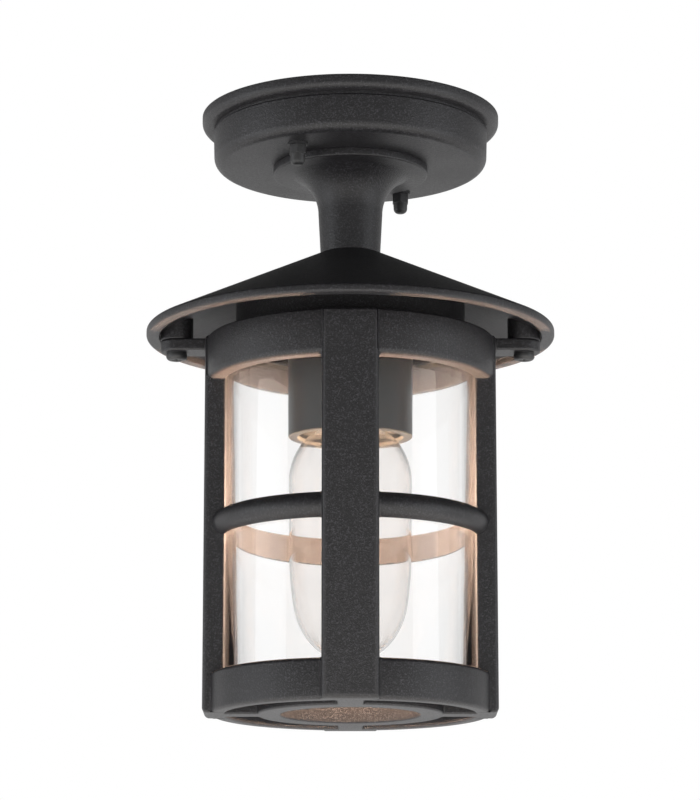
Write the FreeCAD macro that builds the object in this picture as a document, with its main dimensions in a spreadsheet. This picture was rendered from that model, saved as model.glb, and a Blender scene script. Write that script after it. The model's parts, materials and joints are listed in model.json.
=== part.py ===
"""Porch ceiling lantern, hung from a round ceiling pan.

Millimetres. The origin is the centre of the ceiling face, +Z is up, so the whole lantern
lies below z = 0. The left and right ears of the cage are on X, and a post faces -Y.
"""
import FreeCAD
import Part
import math
import os
import Sketcher

V = FreeCAD.Vector

# Driving dimensions. Each is written once, and everything else is worked out from them.
SIZES = {
    # ceiling pan
    "pan_radius": 69.6,
    "pan_height": 26.6,
    "pan_draft": 0.5,
    "pan_wall": 2.5,
    "pan_floor": 2.5,
    "pan_corner_radius": 5.0,
    "flange_radius": 75.4,
    "flange_height": 6.8,
    "flange_round": 3.4,
    "shadow_groove_depth": 0.7,
    "shadow_groove_height": 1.2,
    "cable_hole_radius": 8.0,
    # foam ring let into the top of the flange
    "foam_width": 4.8,
    "foam_thickness": 1.5,
    "foam_clearance": 0.1,
    # bracket that is screwed to the ceiling
    "bracket_thickness": 2.0,
    "bracket_width": 22.0,
    "bracket_flat_half_length": 40.0,
    "bracket_joggle_run": 5.0,
    "bracket_joggle_drop": 6.0,
    "bracket_half_length": 61.0,
    "bracket_centre_hole_radius": 6.0,
    "fixing_hole_radius": 2.5,
    "fixing_circle_radius": 30.0,
    "bracket_angle": 60.0,
    # pan studs and the cap nuts on them, M5
    "stud_radius": 2.5,
    "stud_circle_radius": 52.2,
    "stud_head_height": 3.0,
    "stud_below_pan": 9.6,
    "stud_hole_clearance": 0.3,
    "thread_clearance": 0.05,
    "hex_across_flats": 8.0,
    "hex_nut_height": 4.0,
    "nut_washer_radius": 5.0,
    "nut_washer_thickness": 1.0,
    "cap_hex_height": 4.8,
    "cap_dome_radius": 3.7,
    "cap_dome_height": 5.4,
    "cap_dome_round": 2.4,
    "cap_dome_taper": 0.3,
    "cap_tip_gap": 0.6,
    "hex_corner_chamfer": 0.5,
    # earth screw on the bracket, M4
    "earth_radius": 2.0,
    "earth_length": 7.0,
    "earth_position": 19.0,
    "small_head_radius": 3.9,
    "small_head_height": 2.6,
    # three-way terminal block on the pan floor
    "block_length": 30.0,
    "block_width": 17.0,
    "block_height": 8.0,
    "block_tower_radius": 4.3,
    "block_tower_height": 5.0,
    "block_pitch": 10.0,
    "block_distance": 47.0,
    "block_angle": 150.0,
    "block_wire_radius": 1.9,
    "block_screw_radius": 1.6,
    "block_screw_recess": 1.2,
    # stem
    "stem_disc_radius": 39.2,
    "stem_disc_thickness": 4.1,
    "stem_length": 41.1,
    "stem_disc_round": 1.0,
    "flare_top_radius": 29.7,
    "flare_height": 20.3,
    "flare_bend": 22.0,
    "stem_neck_radius": 16.2,
    "stem_foot_radius": 15.1,
    "stem_bore_radius": 11.0,
    "stem_web": 8.0,
    "stem_screw_circle_radius": 25.0,
    "stem_screw_length": 6.8,
    # threaded tube that holds stem, roof and lampholder together, M10
    "tube_radius": 5.0,
    "tube_bore_radius": 3.6,
    "tube_above_web": 5.0,
    "locknut_across_flats": 14.0,
    "locknut_height": 4.0,
    # roof
    "roof_radius": 102.5,
    "roof_fall": 40.5,
    "roof_rim_height": 3.9,
    "roof_rim_round": 1.4,
    "roof_thickness": 3.9,
    "roof_lip_width": 6.5,
    "roof_hub_radius": 32.0,
    "roof_hub_depth": 13.2,
    "collar_setback": 4.4,
    "collar_wall": 3.0,
    "collar_foot_thickness": 1.5,
    "collar_foot_clearance": 1.2,
    "boss_radius": 8.2,
    "boss_hole_depth": 9.0,
    # cage
    "cage_gap": 0.7,
    "cage_height": 188.5,
    "band_thickness": 5.9,
    "top_band_height": 22.0,
    "bottom_band_height": 20.0,
    "band_round": 2.1,
    "middle_ring_height": 12.7,
    "middle_ring_centre": 94.0,
    "post_width": 27.5,
    "post_proud": 3.1,
    "post_round": 2.0,
    "ear_width": 16.4,
    "ear_thickness": 6.0,
    "ear_screw_offset": 3.05,
    "base_thickness": 10.0,
    "base_hole_radius": 34.4,
    "base_hole_chamfer": 0.8,
    "base_ring_radius": 46.0,
    "slot_setback": 1.5,
    "slot_recess_depth": 6.0,
    "glass_ledge_width": 5.0,
    "spoke_width": 12.7,
    # ear screws, M5 with a captive washer
    "ear_hole_clearance": 0.3,
    "screw_head_radius": 5.3,
    "screw_head_height": 2.9,
    "screw_head_round": 1.9,
    "screw_engagement": 8.0,
    "cross_slot_width": 1.3,
    "cross_slot_length": 5.4,
    "cross_slot_depth": 1.7,
    "screw_washer_radius": 5.0,
    "screw_washer_thickness": 0.8,
    # glass cylinder and its gaskets
    "glass_radius": 62.0,
    "glass_clearance": 1.5,
    "glass_wall": 3.0,
    "glass_height": 165.5,
    "glass_edge_round": 0.9,
    "gasket_thickness": 1.5,
    "upper_gasket_thickness": 2.0,
    "gasket_side_gap": 0.3,
    # lampholder and its cover
    "cover_radius": 30.85,
    "cover_length": 83.4,
    "cover_wall": 2.4,
    "cover_lip": 4.85,
    "cover_lip_thickness": 1.8,
    "cover_edge_round": 0.8,
    "holder_recess": 7.4,
    "holder_radius": 22.0,
    "holder_height": 40.0,
    "holder_neck_radius": 9.0,
    "holder_neck_height": 8.0,
    "holder_cavity_depth": 30.0,
    "holder_edge_round": 1.5,
    "shell_wall": 0.4,
    "shell_clearance": 0.07,
    "shell_play": 0.2,
    "shell_height": 24.0,
    "tongue_width": 6.0,
    "tongue_thickness": 0.5,
    "tongue_reach": 9.0,
    "tongue_gap": 0.1,
    # lamp, large screw cap
    "cap_radius": 13.2,
    "cap_length": 22.4,
    "cap_wall": 0.3,
    "cap_shoulder": 1.5,
    "insulator_radius": 9.0,
    "insulator_height": 2.6,
    "insulator_top_radius": 6.0,
    "button_radius": 4.5,
    "button_height": 2.0,
    "lamp_length": 112.4,
    "lamp_radius": 30.5,
    "lamp_wall": 0.9,
    "lamp_neck_radius": 12.6,
    "lamp_neck_inside": 4.0,
    "lamp_neck_drop": 0.6,
    "lamp_throat_radius": 22.0,
    "lamp_throat_drop": 8.0,
    "lamp_throat_bend": 40.0,
    "lamp_shoulder_drop": 28.5,
    "lamp_shoulder_bend": 29.0,
    "lamp_side_rise": 50.4,
    "lamp_side_bend": 164.0,
    "lamp_waist_radius": 28.4,
    "lamp_waist_rise": 24.2,
    "lamp_waist_bend": 31.3,
    "lamp_tip_radius": 16.6,
    "lamp_tip_rise": 4.4,
    "lamp_tip_bend": 33.6,
    "mount_flare_thickness": 0.8,
    "mount_radius": 5.0,
    "mount_length": 24.0,
    "mount_tip_radius": 2.6,
    "lead_thickness": 0.8,
    "lead_drop": 22.0,
    "filament_radius": 11.0,
    "filament_wire_radius": 0.45,
}

HEX_FACTOR = math.sqrt(3.0)


class Size:
    """A length, with the text that works it out from the sheet."""

    def __init__(self, value, text):
        self.value = value
        self.text = text

    def __add__(self, other):
        other = as_size(other)
        return Size(self.value + other.value, f"({self.text} + {other.text})")

    def __sub__(self, other):
        other = as_size(other)
        return Size(self.value - other.value, f"({self.text} - {other.text})")

    def __mul__(self, other):
        other = as_size(other)
        return Size(self.value * other.value, f"({self.text} * {other.text})")

    def __truediv__(self, other):
        other = as_size(other)
        return Size(self.value / other.value, f"({self.text} / {other.text})")

    def __neg__(self):
        return Size(-self.value, f"(0 - {self.text})")


def as_size(number):
    if isinstance(number, Size):
        return number
    return Size(float(number), f"{float(number):.9g}")


def size(name):
    return Size(SIZES[name], f"Sizes.{name}")


def leg(long_side, short_side):
    """The third side of a right-angled triangle."""
    square = long_side * long_side - short_side * short_side
    return Size(math.sqrt(square.value), f"sqrt({square.text})")


doc = FreeCAD.newDocument("PorchLantern")
sheet = doc.addObject("Spreadsheet::Sheet", "Sizes")
for row, (alias, number) in enumerate(SIZES.items(), start=1):
    sheet.set(f"A{row}", alias)
    sheet.set(f"B{row}", str(number))
    sheet.setAlias(f"B{row}", alias)
doc.recompute()

PIECES = []

# Levels, from the ceiling down.
PAN_UNDERSIDE = -size("pan_height")
PAN_INSIDE = PAN_UNDERSIDE + size("pan_floor")
DISC_UNDERSIDE = PAN_UNDERSIDE - size("stem_disc_thickness")
ROOF_TOP = DISC_UNDERSIDE - size("stem_length")
RIM_TOP = ROOF_TOP - size("roof_fall")
ROOF_BOTTOM = RIM_TOP - size("roof_rim_height")
HUB_UNDERSIDE = ROOF_TOP - size("roof_hub_depth")
CAGE_TOP = ROOF_BOTTOM - size("cage_gap")
EAR_UNDERSIDE = CAGE_TOP - size("ear_thickness")
CAGE_BOTTOM = CAGE_TOP - size("cage_height")
BASE_TOP = CAGE_BOTTOM + size("base_thickness")
GLASS_BOTTOM = BASE_TOP + size("gasket_thickness")
GLASS_TOP = GLASS_BOTTOM + size("glass_height")
COLLAR_BOTTOM = GLASS_TOP + size("upper_gasket_thickness")
COVER_MOUTH = HUB_UNDERSIDE - size("cover_length")
HOLDER_MOUTH = COVER_MOUTH + size("holder_recess")
HOLDER_FLOOR = HOLDER_MOUTH + size("holder_cavity_depth")
HOLDER_TOP = HOLDER_MOUTH + size("holder_height")
NECK_TOP = HOLDER_TOP + size("holder_neck_height")
TUBE_TOP = ROOF_TOP + size("stem_web") + size("tube_above_web")
CAP_TOP = HOLDER_MOUTH + size("cap_length")
INSULATOR_TOP = CAP_TOP + size("insulator_height")
BUTTON_TOP = INSULATOR_TOP + size("button_height")
LAMP_TIP = HOLDER_MOUTH - size("lamp_length")

ROOF_SLOPE = size("roof_fall") / (size("roof_radius") - size("stem_foot_radius"))
CAGE_BORE = size("glass_radius") + size("glass_clearance")
CAGE_RADIUS = CAGE_BORE + size("band_thickness")
POST_FACE = CAGE_RADIUS + size("post_proud")
ROOF_LIP = size("roof_radius") - size("roof_lip_width")
SCREW_DISTANCE = (POST_FACE + ROOF_LIP) / 2 + size("ear_screw_offset")
COLLAR_RADIUS = size("glass_radius") - size("collar_setback")
LEDGE_INNER = CAGE_BORE - size("glass_ledge_width")
TUBE_HOLE = size("tube_radius") + size("thread_clearance")
STUD_HOLE = size("stud_radius") + size("thread_clearance")
SMALL_SCREW_HOLE = size("earth_radius") + size("thread_clearance")
SHELL_INNER = size("cap_radius") + size("shell_clearance")
SHELL_OUTER = SHELL_INNER + size("shell_wall")
NUT_SEAT = PAN_UNDERSIDE - size("nut_washer_thickness")
SCREW_SEAT = EAR_UNDERSIDE - size("screw_washer_thickness")


# Sketch and feature helpers

def new_body(label):
    body = doc.addObject("PartDesign::Body", label)
    body.Label = label
    PIECES.append(body)
    return body


def new_sketch(body, role, level=0.0):
    """A sketch on one of the body's own origin planes, raised to a level."""
    sketch = body.newObject("Sketcher::SketchObject", f"{body.Label}_sketch")
    plane = next(item for item in body.Origin.OriginFeatures if item.Role == role)
    sketch.AttachmentSupport = [(plane, "")]
    sketch.MapMode = "FlatFace"
    level = as_size(level)
    sketch.AttachmentOffset = FreeCAD.Placement(V(0, 0, level.value), FreeCAD.Rotation())
    sketch.setExpression("AttachmentOffset.Base.z", level.text)
    return sketch


def bind(sketch, constraint, length):
    index = sketch.addConstraint(constraint)
    sketch.setExpression(f"Constraints[{index}]", length.text)


def place_point(sketch, geometry, end, x, y):
    """Fixes a point by its two distances from the sketch's origin."""
    for kind, axis, length in (("DistanceX", -2, as_size(x)), ("DistanceY", -1, as_size(y))):
        if length.text == "0":
            sketch.addConstraint(Sketcher.Constraint("PointOnObject", geometry, end, axis))
        elif length.value < 0:
            bind(sketch, Sketcher.Constraint(kind, geometry, end, -1, 1, -length.value), -length)
        else:
            bind(sketch, Sketcher.Constraint(kind, -1, 1, geometry, end, length.value), length)


def arc_between(start, end, radius, bend):
    """An arc from start to end. A bend of 1 turns left on the way, -1 turns right."""
    chord = end - start
    half = chord.Length / 2.0
    rise = math.sqrt(max(radius * radius - half * half, 0.0))
    side = V(-chord.y, chord.x, 0).normalize()
    centre = start + chord * 0.5 + side * (rise * bend)
    first, last = (start, end) if bend > 0 else (end, start)
    from_angle = math.atan2(first.y - centre.y, first.x - centre.x)
    to_angle = math.atan2(last.y - centre.y, last.x - centre.x)
    if to_angle < from_angle:
        to_angle += 2.0 * math.pi
    return Part.ArcOfCircle(Part.Circle(centre, V(0, 0, 1), radius), from_angle, to_angle)


def outline(sketch, points):
    """A closed outline. A point is (x, y), or (x, y, radius, bend) where an arc leads to it."""
    count = len(points)
    places = [V(as_size(p[0]).value, as_size(p[1]).value, 0) for p in points]
    edges = []
    for i in range(count):
        start, end, target = places[i], places[(i + 1) % count], points[(i + 1) % count]
        if len(target) == 2:
            edges.append((sketch.addGeometry(Part.LineSegment(start, end), False), 1, 2))
            continue
        radius, bend = as_size(target[2]), target[3]
        arc = sketch.addGeometry(arc_between(start, end, radius.value, bend), False)
        edges.append((arc, 1, 2) if bend > 0 else (arc, 2, 1))
        bind(sketch, Sketcher.Constraint("Radius", arc, radius.value), radius)
    for i in range(count):
        before, after = edges[i - 1], edges[i]
        sketch.addConstraint(Sketcher.Constraint("Coincident", before[0], before[2], after[0], after[1]))
        place_point(sketch, after[0], after[1], points[i][0], points[i][1])


def circle(sketch, x, y, radius):
    x, y, radius = as_size(x), as_size(y), as_size(radius)
    shape = Part.Circle(V(x.value, y.value, 0), V(0, 0, 1), radius.value)
    ring = sketch.addGeometry(shape, False)
    place_point(sketch, ring, 3, x, y)
    bind(sketch, Sketcher.Constraint("Radius", ring, radius.value), radius)


def rectangle(sketch, x, y, width, height):
    """A rectangle about the point x, y."""
    x, y, half, rise = as_size(x), as_size(y), as_size(width) / 2, as_size(height) / 2
    outline(sketch, [(x - half, y - rise), (x + half, y - rise), (x + half, y + rise), (x - half, y + rise)])


def hexagon(sketch, across_flats, x=0.0):
    corner = across_flats / HEX_FACTOR
    centre = as_size(x)
    points = []
    for along, up in ((1, 0), (0.5, 1), (-0.5, 1), (-1, 0), (-0.5, -1), (0.5, -1)):
        points.append((centre + corner * along, across_flats * (up / 2.0) if up else 0))
    outline(sketch, points)


def feature(body, kind, sketch, **settings):
    item = body.newObject(kind, f"{body.Label}_{kind.split('::')[1].lower()}")
    item.Profile = sketch
    for name, value in settings.items():
        if isinstance(value, Size):
            item.setExpression(name, value.text)
        else:
            setattr(item, name, value)
    sketch.Visibility = False
    return item


def revolve(body, points, kind="PartDesign::Revolution"):
    """A turned form, from its outline as (radius, height)."""
    sketch = new_sketch(body, "XZ_Plane")
    outline(sketch, points)
    return feature(body, kind, sketch, ReferenceAxis=(sketch, ["V_Axis"]), Angle=360.0)


def pad(body, sketch, length, down=False):
    return feature(body, "PartDesign::Pad", sketch, Length=length, Reversed=down)


def pocket(body, sketch, depth=None, up=False):
    """Cuts down from the sketch, or up from it, to a depth or right through."""
    if depth is None:
        return feature(body, "PartDesign::Pocket", sketch, Type="ThroughAll", Reversed=up)
    return feature(body, "PartDesign::Pocket", sketch, Length=depth, Reversed=up)


def around(body, items, count):
    """Repeats features evenly about the vertical axis."""
    doc.recompute()
    pattern = body.newObject("PartDesign::PolarPattern", f"{body.Label}_pattern")
    pattern.Originals = items
    axis = next(item for item in body.Origin.OriginFeatures if item.Role == "Z_Axis")
    pattern.Axis = (axis, [""])
    pattern.Angle = 360.0
    pattern.Occurrences = count
    body.Tip = pattern
    doc.recompute()
    return pattern


def move_to(body, x, y):
    """Carries a turned piece from the ceiling axis to its own axis."""
    x, y = as_size(x), as_size(y)
    body.Placement = FreeCAD.Placement(V(x.value, y.value, 0), FreeCAD.Rotation())
    body.setExpression("Placement.Base.x", x.text)
    body.setExpression("Placement.Base.y", y.text)


def turn_about_ceiling_axis(body, angle):
    """Turns a piece about the lantern's own axis."""
    body.Placement = FreeCAD.Placement(V(0, 0, 0), FreeCAD.Rotation(V(0, 0, 1), angle.value))
    body.setExpression("Placement.Rotation.Angle", angle.text)


# Ceiling pan and what is inside it

def ceiling_pan():
    """A turned shell: flange, shadow groove, drafted drum and rounded foot."""
    body = new_body("ceiling_pan")
    drum = size("pan_radius")
    foot = drum - size("pan_draft")
    inner = drum - size("pan_wall")
    corner = size("pan_corner_radius")
    inner_corner = corner - size("pan_wall")
    groove = drum - size("shadow_groove_depth")
    groove_top = -size("flange_height")
    groove_bottom = groove_top - size("shadow_groove_height")
    rounding = size("flange_round")
    outer = size("flange_radius")
    foam_inner = inner + size("pan_wall") / 2
    foam_outer = foam_inner + size("foam_width") + size("foam_clearance") * 2
    foam_floor = -size("foam_thickness")
    revolve(body, [
        (inner, 0),
        (foam_inner, 0),
        (foam_inner, foam_floor),
        (foam_outer, foam_floor),
        (foam_outer, 0),
        (outer, 0),
        (outer, groove_top + rounding),
        (outer - rounding, groove_top, rounding, -1),
        (groove, groove_top),
        (groove, groove_bottom),
        (drum, groove_bottom - size("shadow_groove_depth")),
        (foot, PAN_UNDERSIDE + corner),
        (foot - corner, PAN_UNDERSIDE, corner, -1),
        (size("cable_hole_radius"), PAN_UNDERSIDE),
        (size("cable_hole_radius"), PAN_INSIDE),
        (inner - size("pan_draft") - inner_corner, PAN_INSIDE),
        (inner - size("pan_draft"), PAN_INSIDE + inner_corner, inner_corner, 1),
    ])
    stud_holes = new_sketch(body, "XY_Plane", PAN_INSIDE)
    for side in (-1, 1):
        circle(stud_holes, size("stud_circle_radius") * side, 0,
               size("stud_radius") + size("stud_hole_clearance"))
    pocket(body, stud_holes)
    screw_hole = new_sketch(body, "XY_Plane", PAN_INSIDE)
    circle(screw_hole, size("stem_screw_circle_radius"), 0, SMALL_SCREW_HOLE)
    around(body, [pocket(body, screw_hole)], 3)
    turn_about_ceiling_axis(body, size("bracket_angle"))


def ring(label, inner, outer, bottom, top, edge=None):
    """A flat ring or a tube, with its four edges rounded where a radius is given."""
    body = new_body(label)
    if edge is None:
        revolve(body, [(inner, bottom), (outer, bottom), (outer, top), (inner, top)])
        return body
    revolve(body, [
        (inner + edge, bottom, edge, 1),
        (outer - edge, bottom),
        (outer, bottom + edge, edge, 1),
        (outer, top - edge),
        (outer - edge, top, edge, 1),
        (inner + edge, top),
        (inner, top - edge, edge, 1),
        (inner, bottom + edge),
    ])
    return body


def pan_gasket():
    inner = size("pan_radius") - size("pan_wall") / 2 + size("foam_clearance")
    ring("pan_gasket", inner, inner + size("foam_width"), -size("foam_thickness"), as_size(0))


def mounting_bracket():
    """A joggled strip: the middle lies on the ceiling, the ends stand off it."""
    body = new_body("mounting_bracket")
    flat, run = size("bracket_flat_half_length"), size("bracket_joggle_run")
    end, drop, thick = size("bracket_half_length"), size("bracket_joggle_drop"), size("bracket_thickness")
    strip = new_sketch(body, "XZ_Plane")
    outline(strip, [
        (-end, -drop), (-(flat + run), -drop), (-flat, 0), (flat, 0), (flat + run, -drop), (end, -drop),
        (end, -drop - thick), (flat + run - thick / 2, -drop - thick), (flat - thick / 2, -thick),
        (-(flat - thick / 2), -thick), (-(flat + run - thick / 2), -drop - thick), (-end, -drop - thick),
    ])
    feature(body, "PartDesign::Pad", strip, Length=size("bracket_width"), SideType="Symmetric")
    holes = new_sketch(body, "XY_Plane")
    circle(holes, 0, 0, size("bracket_centre_hole_radius"))
    circle(holes, size("earth_position"), 0, SMALL_SCREW_HOLE)
    for side in (-1, 1):
        circle(holes, size("fixing_circle_radius") * side, 0, size("fixing_hole_radius"))
        circle(holes, size("stud_circle_radius") * side, 0, STUD_HOLE)
    pocket(body, holes)
    turn_about_ceiling_axis(body, size("bracket_angle"))


def bracket_studs():
    """Two M5 screws that hang from the bracket's ends through the pan."""
    body = new_body("bracket_studs")
    seat = -size("bracket_joggle_drop")
    heads = new_sketch(body, "XY_Plane", seat)
    shanks = new_sketch(body, "XY_Plane", seat)
    for side in (-1, 1):
        hexagon(heads, size("hex_across_flats"), size("stud_circle_radius") * side)
        circle(shanks, size("stud_circle_radius") * side, 0, size("stud_radius"))
    pad(body, heads, size("stud_head_height"))
    pad(body, shanks, seat - PAN_UNDERSIDE + size("stud_below_pan"), down=True)
    turn_about_ceiling_axis(body, size("bracket_angle"))


def stud_nuts():
    """Plain nuts that lock the studs to the bracket."""
    body = new_body("stud_nuts")
    nuts = new_sketch(body, "XY_Plane", -size("bracket_joggle_drop") - size("bracket_thickness"))
    for side in (-1, 1):
        hexagon(nuts, size("hex_across_flats"), size("stud_circle_radius") * side)
        circle(nuts, size("stud_circle_radius") * side, 0, STUD_HOLE)
    pad(body, nuts, size("hex_nut_height"), down=True)
    turn_about_ceiling_axis(body, size("bracket_angle"))


def earth_screw():
    body = new_body("earth_screw")
    head = new_sketch(body, "XY_Plane", -size("bracket_thickness"))
    circle(head, size("earth_position"), 0, size("small_head_radius"))
    pad(body, head, size("small_head_height"), down=True)
    shank = new_sketch(body, "XY_Plane", 0)
    circle(shank, size("earth_position"), 0, size("earth_radius"))
    pad(body, shank, size("earth_length"), down=True)
    turn_about_ceiling_axis(body, size("bracket_angle"))


def block_places():
    return [size("block_pitch") * step for step in (-1, 0, 1)]


def terminal_block():
    """A moulded strip with three towers. Each pole has a wire way and two screw wells."""
    body = new_body("terminal_block")
    base = new_sketch(body, "XY_Plane", PAN_INSIDE)
    rectangle(base, size("block_distance"), 0, size("block_width"), size("block_length"))
    pad(body, base, size("block_height"))
    towers = new_sketch(body, "XY_Plane", PAN_INSIDE)
    for place in block_places():
        circle(towers, size("block_distance"), place, size("block_tower_radius"))
    pad(body, towers, size("block_height") + size("block_tower_height"))
    ways = new_sketch(body, "YZ_Plane", size("block_distance") + size("block_width"))
    for place in block_places():
        circle(ways, place, PAN_INSIDE + size("block_height") / 2, size("block_wire_radius"))
    pocket(body, ways)
    wells = new_sketch(body, "XY_Plane", PAN_INSIDE + size("block_height") + size("block_tower_height"))
    for place in block_places():
        circle(wells, size("block_distance"), place, size("block_screw_radius") + size("thread_clearance"))
    pocket(body, wells, size("block_tower_height") + size("block_height") / 2)
    turn_about_ceiling_axis(body, size("block_angle"))


def terminal_screws():
    body = new_body("terminal_screws")
    level = PAN_INSIDE + size("block_height") / 2 + size("block_wire_radius")
    screws = new_sketch(body, "XY_Plane", level)
    for place in block_places():
        circle(screws, size("block_distance"), place, size("block_screw_radius"))
    top = PAN_INSIDE + size("block_height") + size("block_tower_height") - size("block_screw_recess")
    pad(body, screws, top - level)
    turn_about_ceiling_axis(body, size("block_angle"))


# Stem and what holds it

def stem():
    """Disc, trumpet flare and slightly tapered neck, with a bore for the leads and a web at the foot."""
    body = new_body("stem")
    disc, edge = size("stem_disc_radius"), size("stem_disc_round")
    flare_end = DISC_UNDERSIDE - size("flare_height")
    web_top = ROOF_TOP + size("stem_web")
    bore = size("stem_bore_radius")
    revolve(body, [
        (bore, PAN_UNDERSIDE),
        (disc, PAN_UNDERSIDE),
        (disc, DISC_UNDERSIDE + edge),
        (disc - edge, DISC_UNDERSIDE, edge, -1),
        (size("flare_top_radius"), DISC_UNDERSIDE),
        (size("stem_neck_radius"), flare_end, size("flare_bend"), 1),
        (size("stem_foot_radius"), ROOF_TOP),
        (TUBE_HOLE, ROOF_TOP),
        (TUBE_HOLE, web_top),
        (bore, web_top),
    ])
    tapped = new_sketch(body, "XY_Plane", PAN_UNDERSIDE)
    circle(tapped, size("stem_screw_circle_radius"), 0, SMALL_SCREW_HOLE)
    depth = size("stem_screw_length") - size("pan_floor") + size("thread_clearance")
    around(body, [pocket(body, tapped, depth)], 3)
    turn_about_ceiling_axis(body, size("bracket_angle"))


def stem_screws():
    """Three M4 screws through the pan floor into the stem's disc."""
    body = new_body("stem_screws")
    head = new_sketch(body, "XY_Plane", PAN_INSIDE)
    circle(head, size("stem_screw_circle_radius"), 0, size("small_head_radius"))
    head_pad = pad(body, head, size("small_head_height"))
    shank = new_sketch(body, "XY_Plane", PAN_INSIDE)
    circle(shank, size("stem_screw_circle_radius"), 0, size("earth_radius"))
    shank_pad = pad(body, shank, size("stem_screw_length"), down=True)
    around(body, [head_pad, shank_pad], 3)
    turn_about_ceiling_axis(body, size("bracket_angle"))


def threaded_tube():
    ring("threaded_tube", size("tube_bore_radius"), size("tube_radius"), HOLDER_TOP, TUBE_TOP)


def tube_locknuts():
    """One nut clamps the cover to the roof, the other locks the lampholder."""
    body = new_body("tube_locknuts")
    for level in (HUB_UNDERSIDE - size("cover_wall"), NECK_TOP + size("locknut_height")):
        nut = new_sketch(body, "XY_Plane", level)
        hexagon(nut, size("locknut_across_flats"))
        circle(nut, 0, 0, TUBE_HOLE)
        pad(body, nut, size("locknut_height"), down=True)


# Roof

def roof_height(radius):
    """Level of the roof's upper face at a radius."""
    return ROOF_TOP - (radius - size("stem_foot_radius")) * ROOF_SLOPE


COLLAR_SEAT = roof_height(COLLAR_RADIUS) - size("roof_thickness")


def roof():
    """A cast cone with a stepped lip, a flat seat for the collar, and two screw bosses."""
    body = new_body("roof")
    boss_at = SCREW_DISTANCE
    bosses = new_sketch(body, "XY_Plane", CAGE_TOP)
    for side in (-1, 1):
        circle(bosses, boss_at * side, 0, size("boss_radius"))
    pad(body, bosses, size("roof_fall"))
    inside = boss_at - size("boss_radius") * 2
    outside = boss_at + size("boss_radius") * 2
    buried = size("roof_thickness") / 2
    revolve(body, [
        (inside, roof_height(inside) - buried),
        (outside, roof_height(outside) - buried),
        (outside, ROOF_TOP),
        (inside, ROOF_TOP),
    ], "PartDesign::Groove")
    rim, rounding, thick = size("roof_radius"), size("roof_rim_round"), size("roof_thickness")
    lip, hub = ROOF_LIP, size("roof_hub_radius")
    collar_inner = COLLAR_RADIUS - size("collar_wall")
    revolve(body, [
        (TUBE_HOLE, ROOF_TOP),
        (size("stem_foot_radius"), ROOF_TOP),
        (rim - rounding, roof_height(rim - rounding)),
        (rim, RIM_TOP - rounding, rounding, -1),
        (rim, ROOF_BOTTOM + rounding),
        (rim - rounding, ROOF_BOTTOM, rounding, -1),
        (lip, ROOF_BOTTOM),
        (lip, roof_height(lip) - thick),
        (COLLAR_RADIUS, COLLAR_SEAT),
        (collar_inner, COLLAR_SEAT),
        (collar_inner, roof_height(collar_inner) - thick),
        (hub, roof_height(hub) - thick),
        (hub, HUB_UNDERSIDE),
        (TUBE_HOLE, HUB_UNDERSIDE),
    ])
    tapped = new_sketch(body, "XY_Plane", CAGE_TOP)
    for side in (-1, 1):
        circle(tapped, boss_at * side, 0, STUD_HOLE)
    pocket(body, tapped, size("boss_hole_depth"), up=True)


def roof_collar():
    """The wall under the roof whose foot keeps the glass down."""
    foot, inner = CAGE_BORE - size("collar_foot_clearance"), COLLAR_RADIUS - size("collar_wall")
    foot_top = COLLAR_BOTTOM + size("collar_foot_thickness")
    revolve(new_body("roof_collar"), [
        (inner, COLLAR_SEAT),
        (COLLAR_RADIUS, COLLAR_SEAT),
        (COLLAR_RADIUS, foot_top),
        (foot, foot_top),
        (foot, COLLAR_BOTTOM),
        (inner, COLLAR_BOTTOM),
    ])


# Lampholder

def lampholder_cover():
    """A deep cup, mouth down, with a lip turned in at the mouth."""
    body = new_body("lampholder_cover")
    outer, wall, edge = size("cover_radius"), size("cover_wall"), size("cover_edge_round")
    lip_top = COVER_MOUTH + size("cover_lip_thickness")
    revolve(body, [
        (TUBE_HOLE, HUB_UNDERSIDE),
        (outer - edge, HUB_UNDERSIDE),
        (outer, HUB_UNDERSIDE - edge, edge, -1),
        (outer, COVER_MOUTH + edge),
        (outer - edge, COVER_MOUTH, edge, -1),
        (outer - size("cover_lip"), COVER_MOUTH),
        (outer - size("cover_lip"), lip_top),
        (outer - wall, lip_top + wall),
        (outer - wall, HUB_UNDERSIDE - wall),
        (TUBE_HOLE, HUB_UNDERSIDE - wall),
    ])


def lampholder_body():
    """The porcelain body: a socket below, a neck for the threaded tube above."""
    body = new_body("lampholder_body")
    outer, edge, neck = size("holder_radius"), size("holder_edge_round"), size("holder_neck_radius")
    socket = SHELL_OUTER + size("shell_play") / 2
    revolve(body, [
        (socket, HOLDER_MOUTH),
        (outer - edge, HOLDER_MOUTH),
        (outer, HOLDER_MOUTH + edge, edge, 1),
        (outer, HOLDER_TOP - edge),
        (outer - edge, HOLDER_TOP, edge, 1),
        (neck, HOLDER_TOP),
        (neck, NECK_TOP),
        (TUBE_HOLE, NECK_TOP),
        (TUBE_HOLE, HOLDER_TOP),
        (size("tube_bore_radius"), HOLDER_TOP),
        (size("tube_bore_radius"), HOLDER_FLOOR),
        (socket, HOLDER_FLOOR),
    ])


def lampholder_shell():
    bottom = HOLDER_MOUTH + size("shell_play")
    ring("lampholder_shell", SHELL_INNER, SHELL_OUTER, bottom, bottom + size("shell_height"))


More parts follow.
